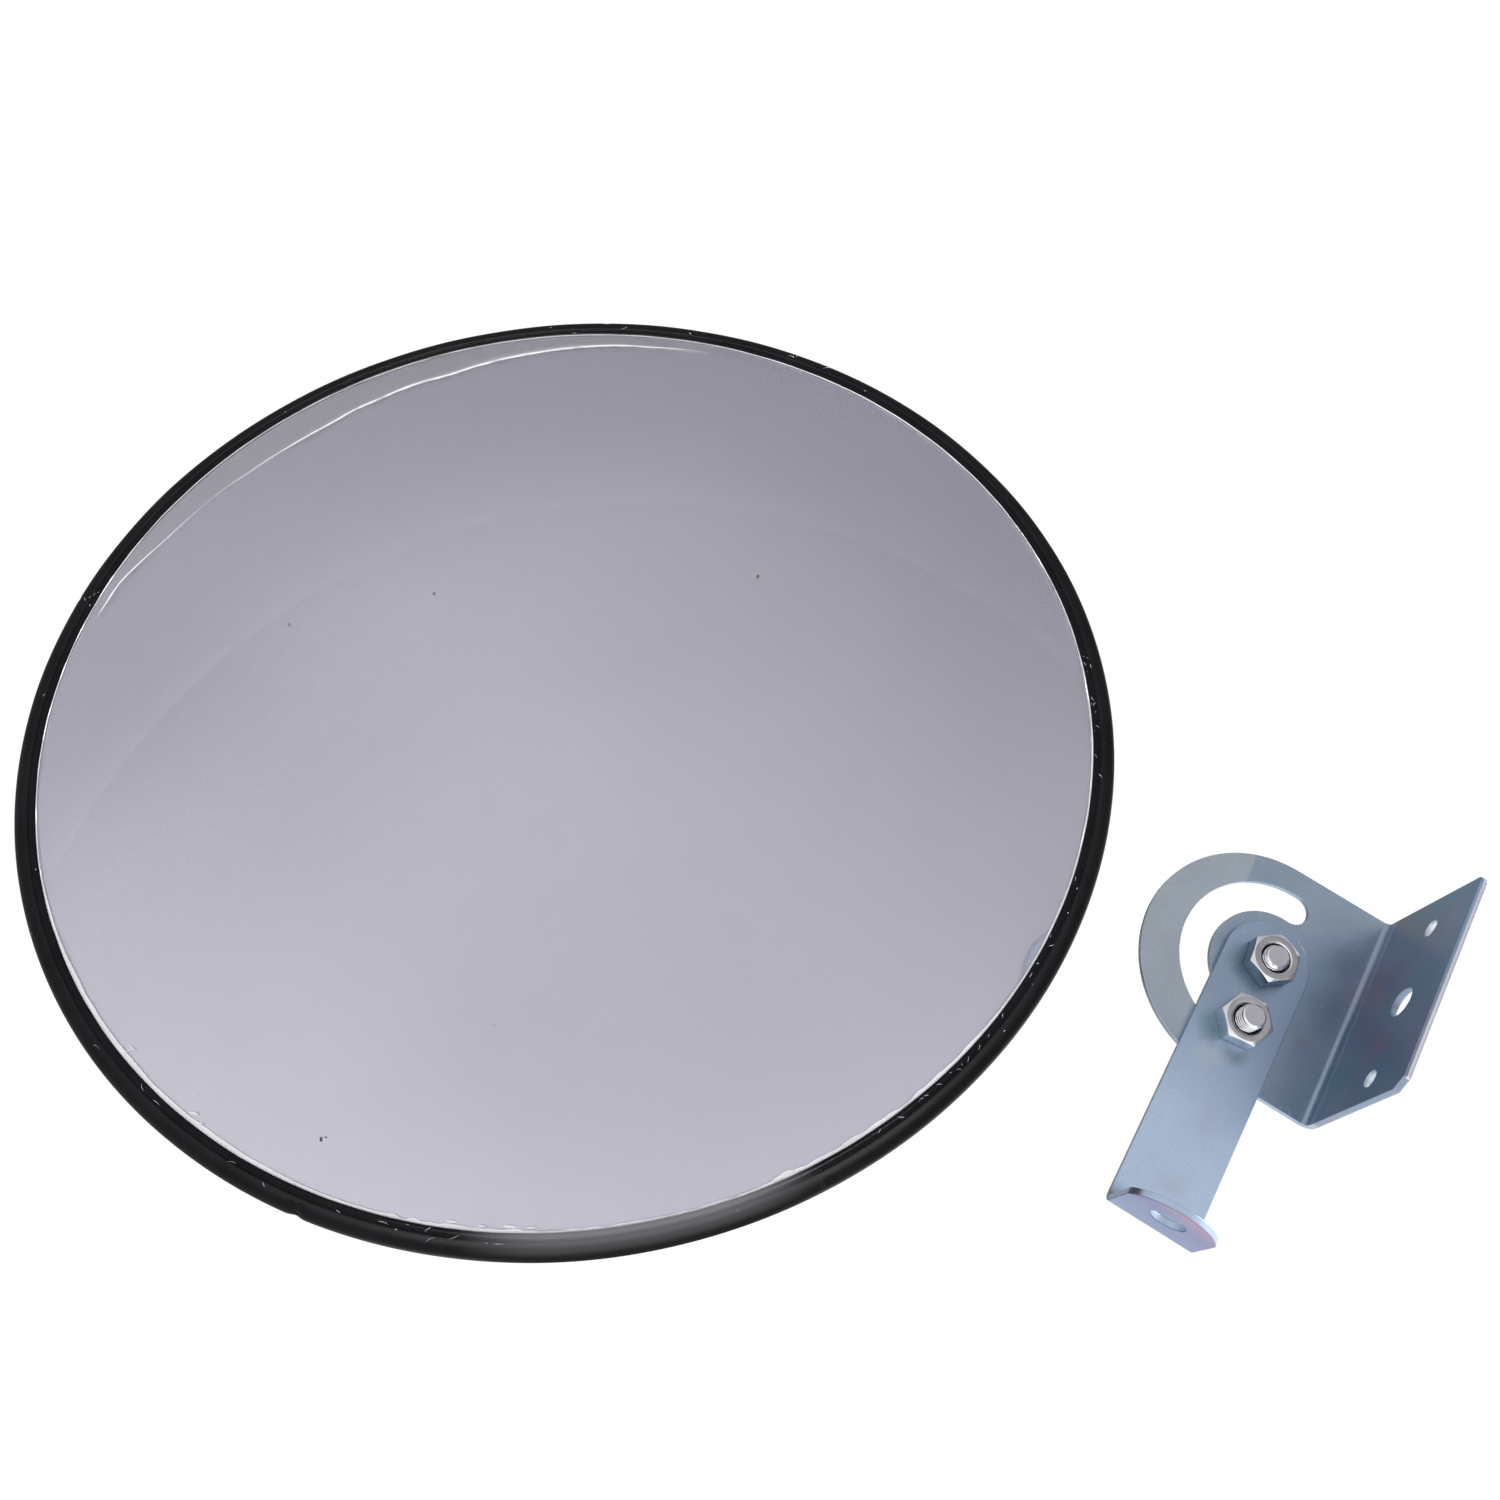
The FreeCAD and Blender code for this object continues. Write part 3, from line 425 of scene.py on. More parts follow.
def arm_zones(mat, pos, colour):
    """Strap paler towards the tab as painted light; the tab's underside goes from lavender to
    pink at its +X end."""
    x, y, z = mat.split(pos)
    front = mat.fade(x, lo=-0.02290, hi=-0.02250)
    # painted light: the front of the strap paler low down
    pale = mat.mul(mat.fade(z, lo=-0.008, hi=-0.044), front)
    colour = mat.paint(colour, pale, (0.61, 0.745, 0.945))
    tab = mat.fade(z, lo=-0.06735, hi=-0.06750)
    outward = mat.fade(mat.add(x, mat.mul(y, 0.35)), lo=-0.034, hi=-0.010, smooth=False)
    under = mat.ramp(outward, [(0.0, (0.24, 0.32, 0.45)), (0.40, (0.21, 0.27, 0.45)),
                               (0.70, (0.215, 0.225, 0.42)), (1.0, (0.36, 0.26, 0.37))])
    colour = mat.paint(colour, tab, under)
    # dark strip where the tab starts, and a dark spot beneath it
    root = mat.mul(mat.fade(z, lo=-0.0615, hi=-0.0662),
                   mat.fade(x, lo=-0.0222, hi=-0.0200, to=(1, 0)))
    root = mat.mul(mat.mul(root, 0.85), mat.sub(1, tab))
    colour = mat.paint(colour, root, (0.22, 0.27, 0.33))
    spot = mat.mul(mat.blob(pos, (-7.6, -34.6, -66.7), radius=2.6, inner=0.8),
                   mat.fade(z, lo=-0.06765, hi=-0.06745))
    return mat.paint(colour, spot, (0.085, 0.080, 0.085), amount=0.9)


# Soft patches: centre (mm), radius (mm), colour, amount; first the leg's, then the flange's
WALL_PATCHES = (
    ((-23.6, -20, 27), 12, (0.40, 0.49, 0.60), 0.6),
    ((-23.6, -13, -21), 9, (0.43, 0.51, 0.62), 0.55),
    ((-23.6, -8, 13), 9, (0.22, 0.27, 0.39), 0.55),
    ((-23.6, -7.6, 1), 10, (0.20, 0.29, 0.38), 0.55),
    ((-23.6, -10.5, -10), 5, (0.33, 0.33, 0.36), 0.45),
    ((-23.6, -33, 4.5), 6, (0.22, 0.30, 0.40), 0.6),
    ((9.5, -1.6, 22), 10, (0.54, 0.42, 0.66), 0.35),
    ((2, -1.6, 18), 9, (0.36, 0.35, 0.55), 0.40),
    ((-14.5, -1.6, 8), 12, (0.46, 0.30, 0.33), 0.62),
    ((-8, -1.6, 12), 9, (0.30, 0.27, 0.46), 0.55),
    ((-3, -1.6, -10.5), 10, (0.48, 0.28, 0.38), 0.62),
    ((-13, -1.6, -5), 10, (0.36, 0.28, 0.44), 0.55),
    ((-13.5, -1.6, -15.5), 10, (0.17, 0.38, 0.42), 0.70),
    ((-3.5, -1.6, -2.5), 6, (0.20, 0.40, 0.44), 0.55),
    ((7, -1.6, 3), 11, (0.22, 0.38, 0.50), 0.60),
    ((3, -1.6, -20), 11, (0.18, 0.38, 0.47), 0.60),
    ((-6.5, -1.6, 20), 8, (0.24, 0.36, 0.46), 0.45))
# Arm: painted shadows under and to the lower left of both nuts, a painted pale patch of light
# below the clamp nut, then two lavender patches
ARM_PATCHES_AND_NUT_SHADOWS = (
    ((-22, -26.5, -1.5), 9, (0.20, 0.29, 0.34), 0.65),
    ((-22, -31.5, -2.5), 5.5, (0.18, 0.30, 0.34), 0.55),
    ((-22, -30, -18.5), 6, (0.18, 0.29, 0.33), 0.70),
    ((-22, -24, -21.5), 5, (0.20, 0.28, 0.33), 0.60),
    ((-22, -28.5, -25), 5, (0.66, 0.72, 0.76), 0.55),
    ((-22, -24.2, -54), 6, (0.56, 0.52, 0.60), 0.30),
    ((-22, -21, -40), 6, (0.52, 0.50, 0.62), 0.22))


# ------------------------------------------------------------------ other materials
def zinc_hardware(name, tint, rough, seed, grime=0.35, sides=None, tip=None):
    """Plated fastener: tumbled, slightly pitted, with teal grime. sides colours the faces that
    look away from +X with a painted side tone, painted shade on the pivot nut and painted light
    on the clamp nut, and adds painted highlights on the chamfers; tip is the bolt's end point in
    mm."""
    mat, pos = new_material("zinc_hardware_" + name)
    pos = mat.shift(pos, (seed, seed, seed))
    big = mat.noise(pos, scale=260, rough=0.6)
    cells = mat.node("TexVoronoi", Vector=pos, Scale=1500).outputs["Distance"]
    pit = mat.mul(mat.fade(cells, lo=0.10, hi=0.34, to=(1, 0)),
                  mat.fade(mat.noise(pos, scale=700, detail=2), lo=0.48, hi=0.62))
    fine = mat.noise(pos, scale=2400, detail=3, rough=0.65)
    colour = mat.mottle(big, tuple(c * 0.86 for c in tint), tuple(min(1, c * 1.08) for c in tint))
    colour = mat.paint(colour, pit, (0.30, 0.32, 0.34), amount=0.55)
    teal = mat.noise(mat.shift(pos, (0.4, 0, 0)), scale=190, detail=3, rough=0.6)
    colour = mat.paint(colour, mat.fade(teal, lo=0.55, hi=0.75), (0.36, 0.45, 0.50), amount=grime)
    if sides:
        # painted side tone on faces turned away from +X
        facing = mat.dot(mat.node("TexCoord").outputs["Normal"], (1, 0, 0))
        patchy = mat.noise(mat.shift(pos, (0.9, 0.3, 0)), scale=330, detail=3, rough=0.6)
        patchy = mat.fade(patchy, lo=0.35, hi=0.65, to=(0.65, 1))
        colour = mat.paint(colour, mat.mul(mat.fade(facing, lo=0.45, hi=0.25), patchy), sides)
        # painted highlights on the chamfers
        rim = mat.mul(mat.fade(facing, lo=0.50, hi=0.66), mat.fade(facing, lo=0.985, hi=0.95))
        colour = mat.paint(colour, rim, (0.93, 0.93, 0.94), amount=0.85)
    if tip:
        # painted shade in the thread roots, a painted highlight on the end chamfer and a duller
        # sheared end
        end, axis_y, axis_z = (c * MM for c in tip)
        raw = mat.position()
        radius = mat.off_axis(raw, (0, axis_y, axis_z), keep=(0, 1, 1))
        along = mat.split(raw)[0]
        root = mat.mul(mat.fade(radius, lo=0.00292, hi=0.00262),
                       mat.fade(along, lo=end - 0.00058, hi=end - 0.00074))
        colour = mat.paint(colour, root, (0.05, 0.055, 0.06), amount=0.92)
        tip_chamfer_highlight = mat.mul(mat.fade(radius, lo=0.00230, hi=0.00240),
                          mat.fade(along, lo=end - 0.00074, hi=end - 0.00062))
        colour = mat.paint(colour, tip_chamfer_highlight, (0.97, 0.965, 0.99))
        face = mat.mul(mat.fade(radius, lo=0.00240, hi=0.00230),
                       mat.fade(along, lo=end - 0.0003, hi=end - 0.0001))
        colour = mat.paint(colour, face, (0.60, 0.59, 0.64), amount=0.9)
    satin = mat.add(rough, mat.mul(mat.fade(fine, lo=0.35, hi=0.7), 0.10))
    height = mat.sub(mat.mul(fine, 0.5), mat.mul(pit, 1.2))
    normal = mat.bump(height, strength=0.16, distance=0.00006)
    normal = mat.bump(big, strength=0.10, distance=0.0002, Normal=normal)
    return mat.principled(Base_Color=colour, Metallic=1.0, Roughness=satin, Normal=normal)


def aluminium():
    mat, pos = new_material("rivet_aluminium")
    fine = mat.noise(pos, scale=1800, detail=3, rough=0.6)
    cloud = mat.noise(pos, scale=300, detail=3)
    colour = mat.mottle(cloud, (0.70, 0.71, 0.72), (0.84, 0.84, 0.85))
    colour = mat.paint(colour, mat.fade(fine, lo=0.62, hi=0.75), (0.4, 0.4, 0.42), amount=0.3)
    return mat.principled(Base_Color=colour, Metallic=1.0,
                          Roughness=mat.add(0.30, mat.mul(fine, 0.18)),
                          Normal=mat.bump(fine, strength=0.25, distance=0.00006))


def rubber():
    """Extruded black edge trim: matt outer band, glossier inner lip, lint and scuffs, and a grey
    painted sheen low on the rim.
    """
    mat, pos = new_material("black_rubber_trim")
    x, y, z = mat.unit_coords(pos, UNIT_X, UNIT_Y, UNIT_Z)
    radius = mat.hypot(x, y)
    lip = mat.fade(radius, lo=0.1457, hi=0.1461, to=(1, 0))
    fine = mat.noise(pos, scale=1500, detail=3, rough=0.6)
    cloud = mat.noise(pos, scale=70, rough=0.6)
    colour = mat.mottle(cloud, (0.0026, 0.0026, 0.0032), (0.0050, 0.0048, 0.0058))
    # pale lint and chalky scuffs, thin on the ground
    lint = mat.noise(mat.stretch(pos, (1, 1, 0.6)), scale=520, detail=3, rough=0.55, distort=1.2)
    lint = mat.fade(lint, lo=0.745, hi=0.775)
    colour = mat.paint(colour, lint, (0.20, 0.21, 0.22), amount=0.22)
    scuff = mat.noise(mat.shift(pos, (0.7, 0.2, 0.1)), scale=210, detail=5, rough=0.7,
                      distort=0.8)
    scuff = mat.fade(scuff, lo=0.62, hi=0.72)
    colour = mat.paint(colour, scuff, (0.10, 0.10, 0.105), amount=0.06)
    # painted sheen: grey painted low on the rim, fading in from the outer edge towards the film
    low = math.radians(310.5)
    toward = mat.add(mat.mul(x, math.cos(low)), mat.mul(y, math.sin(low)))
    low_sheen = mat.fade(mat.math("DIVIDE", toward, radius), lo=0.953, hi=0.993)
    inward = mat.add(mat.mul(mat.sub(0.150, radius), 3.1), mat.mul(z, 1.94))
    grey = mat.ramp(mat.fade(inward, lo=-0.002, hi=0.020, smooth=False),
                    [(0.0, (0.003, 0.003, 0.003)), (0.30, (0.011, 0.011, 0.011)),
                     (0.60, (0.042, 0.041, 0.043)), (0.83, (0.080, 0.079, 0.083)),
                     (1.0, (0.122, 0.120, 0.126))])
    colour = mat.paint(colour, low_sheen, grey)
    # 0.30 on the matt band, lower on the lip, higher under the painted sheen and scuffs
    rough = mat.add(mat.mul(fine, 0.14), mat.sub(0.30, mat.mul(lip, 0.19)),
                    mat.mul(low_sheen, 0.25), mat.mul(scuff, 0.08))
    height = mat.add(mat.mul(fine, 0.6), mat.mul(mat.noise(pos, scale=260, detail=3), 0.8))
    return mat.principled(Base_Color=colour, Roughness=rough, IOR=1.45,
                          Normal=mat.bump(height, strength=0.18, distance=0.00010),
                          Specular_IOR_Level=mat.mul(mat.sub(1, mat.mul(low_sheen, 0.7)), 0.11))


# Painted shade on the mirror, areas painted darker: unit x, y, radius (mm), loss of brightness
MIRROR_SHADE_AREAS = ((-100, -60, 60, 0.175), (80, 100, 100, 0.130), (80, -100, 80, 0.095),
               (-40, -60, 60, 0.075), (20, 20, 60, 0.07))


def silvered_acrylic():
    mat, pos = new_material("mirror_acrylic")
    haze = mat.noise(pos, scale=30, detail=3)
    specks = mat.fade(mat.noise(pos, scale=900, detail=2), lo=0.74, hi=0.78)
    colour = mat.mottle(haze, (0.857, 0.846, 0.888), (0.877, 0.867, 0.909))
    x, y = mat.unit_coords(pos, UNIT_X, UNIT_Y)
    for area_x, area_y, radius, loss in MIRROR_SHADE_AREAS:
        away = mat.hypot(mat.sub(x, area_x * MM), mat.sub(y, area_y * MM))
        thin = mat.fade(away, lo=0, hi=radius * MM, to=(1, 0))
        colour = mat.paint(colour, thin, (0, 0, 0), amount=loss)
    colour = mat.paint(colour, specks, (0.35, 0.35, 0.38), amount=0.4)
    normal = mat.bump(mat.noise(pos, scale=9, detail=2, rough=0.4), strength=0.010,
                      distance=0.002)
    return mat.principled(Base_Color=colour, Metallic=1.0,
                          Roughness=mat.add(0.05, mat.mul(haze, 0.04)), Normal=normal)


def acrylic_edge():
    mat, pos = new_material("acrylic_edge")
    saw = mat.noise(mat.stretch(pos, (1, 1, 1)), scale=1200, detail=3, rough=0.6)
    colour = mat.mix(saw, (0.55, 0.56, 0.60), (0.75, 0.76, 0.80))
    return mat.principled(Base_Color=colour, Roughness=0.35,
                          Normal=mat.bump(saw, strength=0.2, distance=0.0001))


HAZE, MILK = (0.665, 0.650, 0.715), 0.93
# Darker spots in the clear film, the first a broad painted shade low on the face, the rest
# specks: unit x, y, x radius, y radius (mm), colour, amount
FILM_SHADE_CLOUD = (36, -94, 46, 30, (0.42, 0.41, 0.46), 0.16)
FILM_SPECKS_AND_SHADE = (FILM_SHADE_CLOUD,) + tuple(
    (x, y, radius, radius, (0.36, 0.35, 0.38), 0.55)
    for x, y, radius in ((-24.9, -47.1, 1.8), (-59.8, -73.3, 1.5), (34.1, 46.8, 1.1)))


def film_marks(mat, pos, colour, amount):
    """Spots and dust on the clear film, one a broad painted shade, and its lifted margin: greyer
    and scuffed, with a white painted highlight along the crease, partly its milky whitening, and
    a thin painted shade inside it."""
    x, y = mat.unit_coords(pos, UNIT_X, UNIT_Y)
    for spot_x, spot_y, x_radius, y_radius, shade, strength in FILM_SPECKS_AND_SHADE:
        away = mat.hypot(mat.math("DIVIDE", mat.sub(x, spot_x * MM), x_radius * MM),
                         mat.math("DIVIDE", mat.sub(y, spot_y * MM), y_radius * MM))
        colour = mat.paint(colour, mat.fade(away, lo=0, hi=1, to=(1, 0)), shade, amount=strength)
    dust = mat.fade(mat.noise(pos, scale=1300, detail=2), lo=0.755, hi=0.79)
    colour = mat.paint(colour, dust, (0.30, 0.30, 0.33), amount=0.5)
    marks = mat.node("Attribute", {"attribute_name": "marks"}).outputs["Vector"]
    glow, band, shade = mat.split(marks)
    rub = mat.noise(mat.stretch(pos, (1, 0.5, 1.6)), scale=260, rough=0.65, distort=0.5)
    rub = mat.fade(rub, lo=0.56, hi=0.70)
    colour = mat.paint(colour, band, (0.60, 0.60, 0.61), amount=0.8)
    colour = mat.paint(colour, mat.mul(band, rub), (0.38, 0.38, 0.40), amount=0.5)
    # white painted highlight along the crease, partly its milky whitening; thin painted shade
    # inside it
    colour = mat.paint(colour, glow, (0.95, 0.95, 0.97))
    colour = mat.paint(colour, shade, (0.16, 0.155, 0.18))
    # each mark also scatters more light
    amount = mat.add(amount, mat.mul(dust, 0.25), mat.mul(glow, 0.62), mat.mul(band, 0.10))
    return colour, mat.math("ADD", amount, mat.mul(shade, 0.22), clamp=True)


def film(name, veil, white=0.0):
    """Thin protective film: partly lets the mirror through, with a milky veil and a soft
    sheen. veil is the share that scatters; white moves it from the lilac haze to torn,
    milky plastic."""
    mat, pos = new_material(name)
    cloud = mat.noise(pos, scale=9, detail=3)
    base = tuple(c * (1 - white) + MILK * white for c in HAZE)
    colour = mat.mix(mat.fade(cloud, lo=0.25, hi=0.75), tuple(c * 0.97 for c in base),
                     tuple(min(1, c * 1.03) for c in base))
    amount = mat.add(veil * 0.94, mat.mul(cloud, veil * 0.12))
    if not white:
        colour, amount = film_marks(mat, pos, colour, amount)
    scatter = mat.mix_shader(0.35, mat.node("BsdfDiffuse", Color=colour).outputs[0],
                             mat.node("BsdfTranslucent", Color=colour).outputs[0])
    clear = mat.node("BsdfTransparent", Color=(0.985, 0.98, 0.99)).outputs[0]
    body = mat.mix_shader(amount, clear, scatter)
    normal = mat.bump(mat.noise(pos, scale=60, detail=2), strength=0.06 if white else 0.012,
                      distance=0.0012)
    gloss = mat.node("BsdfGlossy", Color=(0.95, 0.94, 1.0), Roughness=0.20, Normal=normal)
    fresnel = mat.node("LayerWeight", Blend=0.25, Normal=normal).outputs["Fresnel"]
    sheen = mat.math("ADD", 0.04, mat.mul(fresnel, 0.5), clamp=True)
    return mat.finish(mat.mix_shader(sheen, body, gloss.outputs[0]))


def board_grain():
    """Moulded black board: fine leather-like grain, slightly grey, with handling marks."""
    mat, pos = new_material("black_board_grain")
    cells = mat.node("TexVoronoi", {"feature": "DISTANCE_TO_EDGE"}, Vector=pos, Scale=900)
    fine = mat.noise(pos, scale=1800, detail=3, rough=0.6)
    cloud = mat.noise(pos, scale=22, detail=5, rough=0.6)
    rub = mat.noise(mat.stretch(pos, (1, 1, 4)), scale=60, detail=5, rough=0.7, distort=0.6)
    rub = mat.fade(rub, lo=0.60, hi=0.75)
    colour = mat.mottle(cloud, (0.009, 0.009, 0.0105), (0.017, 0.017, 0.019))
    colour = mat.paint(colour, rub, (0.055, 0.055, 0.06), amount=0.25)
    rough = mat.sub(mat.add(0.48, mat.mul(fine, 0.14)), mat.mul(rub, 0.10))
    height = mat.add(mat.fade(cells.outputs["Distance"], lo=0, hi=0.25), mat.mul(fine, 0.4))
    return mat.principled(Base_Color=colour, Roughness=rough,
                          Normal=mat.bump(height, strength=0.35, distance=0.00015))


def dust_specks():
    mat, pos = new_material("dust_specks")
    colour = mat.mix(mat.noise(pos, scale=3000, detail=2), (0.03, 0.03, 0.035),
                     (0.12, 0.12, 0.13))
    return mat.principled(Base_Color=colour, Roughness=0.8)


def bolt_tip(joint, centre, length):
    return zinc_hardware("bolt_tip_" + joint, (0.78, 0.765, 0.79), rough=0.17, seed=1.2,
                         grime=0.15, sides=(0.74, 0.75, 0.78),
                         tip=(BOLT_SEAT_X + length, centre[1], centre[2]))


RUBBER = rubber()
MIRROR = silvered_acrylic()
MIRROR_EDGE = acrylic_edge()
CLEAR_FILM = film("clear_film", veil=0.13)
# milky white torn film round the rim, also a painted highlight on the film's upturned edge
TORN_FILM_AND_EDGE_SHEEN = film("torn_film", veil=0.62, white=1.0)
BOARD = board_grain()
ALUMINIUM = aluminium()
SPECK = dust_specks()
# milky white crease ridge: the film's whitening there, and a painted highlight along it
CREASE_HIGHLIGHT_FILM = film("film_crease", veil=0.90, white=1.0)
WALL_ZINC = zinc_sheet("zinc_sheet_wall", (0.370, 0.455, 0.565), rough=0.34, seed=0.13,
                       zones=wall_plate_zones, patches=WALL_PATCHES, plain_wall_side=True)
ARM_ZINC = zinc_sheet("zinc_sheet_arm", (0.375, 0.475, 0.625), rough=0.32, seed=0.41,
                      zones=arm_zones, patches=ARM_PATCHES_AND_NUT_SHADOWS)
MOUNT_ZINC = zinc_sheet("zinc_sheet_mount", (0.56, 0.60, 0.66), rough=0.34, seed=0.77)
HARDWARE = zinc_hardware("bolt", (0.70, 0.69, 0.715), rough=0.19, seed=0.2)
# one M6 nut in two tones: the pivot nut darker with dark sides as painted shade, the clamp nut
# paler with pale sides as painted light
PIVOT_NUT_SHADED = zinc_hardware("nut", (0.47, 0.455, 0.475), rough=0.17, seed=0.9,
                          sides=(0.20, 0.27, 0.30))
CLAMP_NUT_LIT = zinc_hardware("nut_low", (0.56, 0.545, 0.56), rough=0.19, seed=0.5,
                          sides=(0.66, 0.74, 0.80))
PIVOT_BOLT = bolt_tip("pivot", PIVOT, PIVOT_LENGTH)
CLAMP_BOLT = bolt_tip("clamp", CLAMP, CLAMP_LENGTH)
WASHER = zinc_hardware("washer", (0.60, 0.62, 0.66), rough=0.26, seed=1.7, grime=0.5)
SPRING = zinc_hardware("spring", (0.52, 0.54, 0.57), rough=0.30, seed=2.3, grime=0.5)
# near-black thread inside the nuts: painted shade in the bore
NUT_BORE_SHADE = zinc_hardware("nut_thread", (0.07, 0.075, 0.08), rough=0.40, seed=3.1, grime=0.5)
LINT_FILM = film("film_lint", veil=0.34, white=0.55)

# ------------------------------------------------------------------ M6 fasteners
BOLT_RADIUS, THREAD_PITCH, RINGS_PER_TURN = 3.0, 1.0, 9
HEAD_FLATS, HEAD_HEIGHT, NUT_FLATS = 10.0, 4.0, 11.0
WASHER_OUTER, SPRING_OUTER, WASHER_INNER = 12.0, 11.8, 6.4      # diameters
SPRING_GAP = 12.0                                               # degrees
THREAD_COLS, WASHER_COLS, SPRING_COLS = 120, 96, 90


def thread_rings(start, end, radius_at):
    """Rings from start to end; radius_at(z, cut) gives the radii, where cut is 0 at the
    crest and 1 at the root."""
    rows = []
    count = max(4, int(round((end - start) / THREAD_PITCH * RINGS_PER_TURN)))
    for i in range(count + 1):
        z = start + (end - start) * i / count
        phase = z / THREAD_PITCH - around(THREAD_COLS) / (2 * math.pi)
        from_crest = np.abs(((phase + 0.5) % 1.0) - 0.5) * 2
        rows.append((radius_at(z, smooth01((from_crest - 0.14) / 0.70)), z))
    return rows


def bolt_thread(start, end, depth=0.52, run_out=1.2, lead_in=0.7):
    """Outer thread fading into the plain shank at start and chamfered at end."""
    def radius_at(z, cut):
        radius = BOLT_RADIUS - depth * cut * smooth01((z - start) / run_out)
        if z > end - lead_in:
            radius = np.minimum(radius, BOLT_RADIUS - (z - (end - lead_in)) * 0.9)
        return radius
    return thread_rings(start, end, radius_at)


def nut_thread(start, end, radius=3.06, depth=0.28):
    return thread_rings(start, end, lambda z, cut: radius + depth * (1 - cut))


def hex_rows(flats, far):
    """Hexagon rings from z = 0 to far, bevelled at the far side along curved arcs."""
    across = around(THREAD_COLS) % (math.pi / 3) - math.pi / 6
    hexagon = np.minimum(flats / 2 / np.cos(across), flats / 2 / math.cos(math.pi / 6) - 0.05)
    sign = 1.0 if far > 0 else -1.0
    top = flats * 0.475
    bevel_z = far - sign * (hexagon - top) * math.tan(math.radians(30))
    return [(hexagon - 0.16, 0.0), (hexagon - 0.05, sign * 0.05), (hexagon, sign * 0.16),
            (hexagon, bevel_z - sign * 0.10), (hexagon - 0.03, bevel_z - sign * 0.01),
            (hexagon - 0.12, bevel_z + sign * 0.055),
            (top + 0.10, far - sign * 0.07), (top - 0.03, far - sign * 0.012), (top - 0.16, far)]


def bolt_mesh(length):
    """Head below z = 0, its far side recessed a hair in the middle; thread above."""
    rows = [(0.02, -3.86), (2.2, -3.86), (3.6, -3.90), (4.1, -3.985)]
    rows += hex_rows(HEAD_FLATS, -HEAD_HEIGHT)[::-1]
    rows += [(4.75, 0.0), (3.25, 0.0), (3.02, 0.22)]
    rows += bolt_thread(0.25, length)
    rows += [(2.33, length), (2.22, length), (1.6, length - 0.015), (0.02, length - 0.02)]
    return ring_points(rows, THREAD_COLS), tube_faces(len(rows), THREAD_COLS)


def nut_mesh():
    """Vertices, faces and the material index of each face: 1 in the thread."""
    top = NUT_HEIGHT
    rows = hex_rows(NUT_FLATS, top)
    rows += [(3.95, top), (3.80, top - 0.04), (3.5, top - 0.33), (3.2, top - 0.62)]
    rows += nut_thread(0.5, top - 0.72)[::-1]
    rows += [(3.5, 0.12), (3.66, 0.0)]
    vertices, faces = closed_lathe(rows, THREAD_COLS)
    thread = range(11, len(rows) - 2)
    return vertices, faces, [int(i // THREAD_COLS in thread) for i in range(len(faces))]


def washer_mesh():
    outer, inner, thick, edge = WASHER_OUTER / 2, WASHER_INNER / 2, WASHER_THICK, 0.14
    rows = [(inner + edge, 0), (outer - edge * 1.6, 0), (outer - edge * 0.4, edge * 0.45),
            (outer, edge * 1.3), (outer - 0.02, thick - edge * 1.8),
            (outer - edge * 0.9, thick - edge * 0.5), (outer - edge * 2.4, thick),
            (inner + edge, thick), (inner, thick - edge), (inner, edge)]
    return closed_lathe(rows, WASHER_COLS)


def spring_washer_mesh():
    """Split ring: a square section swept round, its two ends apart and cut slanting."""
    outer, inner, thick, edge = SPRING_OUTER / 2, WASHER_INNER / 2, WASHER_THICK, 0.13
    section = [(inner + edge, 0), (outer - edge, 0), (outer, edge), (outer, thick - edge),
               (outer - edge, thick), (inner + edge, thick), (inner, thick - edge), (inner, edge)]
    sweep = math.radians(360 - SPRING_GAP)
    vertices = []
    for i in range(SPRING_COLS + 1):
        for radius, z in section:
            slant = (z / thick - 0.5) * 0.10 if i in (0, SPRING_COLS) else 0
            angle = sweep * i / SPRING_COLS + slant
            vertices.append((radius * math.cos(angle), radius * math.sin(angle), z))
    return vertices, tube_faces(SPRING_COLS + 1, len(section))


def fastener(name, mesh, place, body, node, *materials):
    vertices, faces, *face_materials = mesh
    piece(name, place(vertices), faces, body, "zinc_hardware", materials, sharp=32, node=node,
          face_materials=face_materials[0] if face_materials else None)


# Joint, centre, bolt length, bolt turn, nut turn (degrees), bolt and nut materials
JOINTS = (("pivot", PIVOT, PIVOT_LENGTH, 7, 66.9, PIVOT_BOLT, PIVOT_NUT_SHADED),
          ("clamp", CLAMP, CLAMP_LENGTH, 21, 37.0, CLAMP_BOLT, CLAMP_NUT_LIT))
for joint, centre, length, bolt_turn, _, bolt_material, _ in JOINTS:
    fastener(joint + "_bolt_m6", bolt_mesh(length), along_x(BOLT_SEAT_X, centre, bolt_turn),
             "arm", joint + "_bolt", bolt_material)
for joint, centre, _, _, nut_turn, _, nut_material in JOINTS:
    fastener(joint + "_nut_m6", nut_mesh(), along_x(NUT_SEAT_X, centre, nut_turn),
             "arm", joint + "_nut", nut_material, NUT_BORE_SHADE)
for joint, centre, *_ in JOINTS:
    fastener(joint + "_washer_flat", washer_mesh(), along_x(BOLT_SEAT_X, centre, 0),
             "arm", joint + "_washer", WASHER)

MOUNT_WASHER_Z = -6.6       # on the mirror unit's axis
MOUNT_SEAT_Z = MOUNT_WASHER_Z - WASHER_THICK
fastener("mounting_bolt_m6", bolt_mesh(16.0), on_unit_axis(17, MOUNT_SEAT_Z),
         "mounting_bolt", "mounting_bolt", HARDWARE)
fastener("mounting_spring_washer_split", spring_washer_mesh(), on_unit_axis(40, MOUNT_SEAT_Z),
         "mounting_bolt", "mounting_spring_washer", SPRING)
fastener("mounting_washer_flat", washer_mesh(), on_unit_axis(0, MOUNT_WASHER_Z),
         "mounting_bolt", "mounting_washer", WASHER)

# ------------------------------------------------------------------ mirror sheet
MIRROR_COLS, FRONT_RINGS, BACK_RINGS = 288, 72, 48


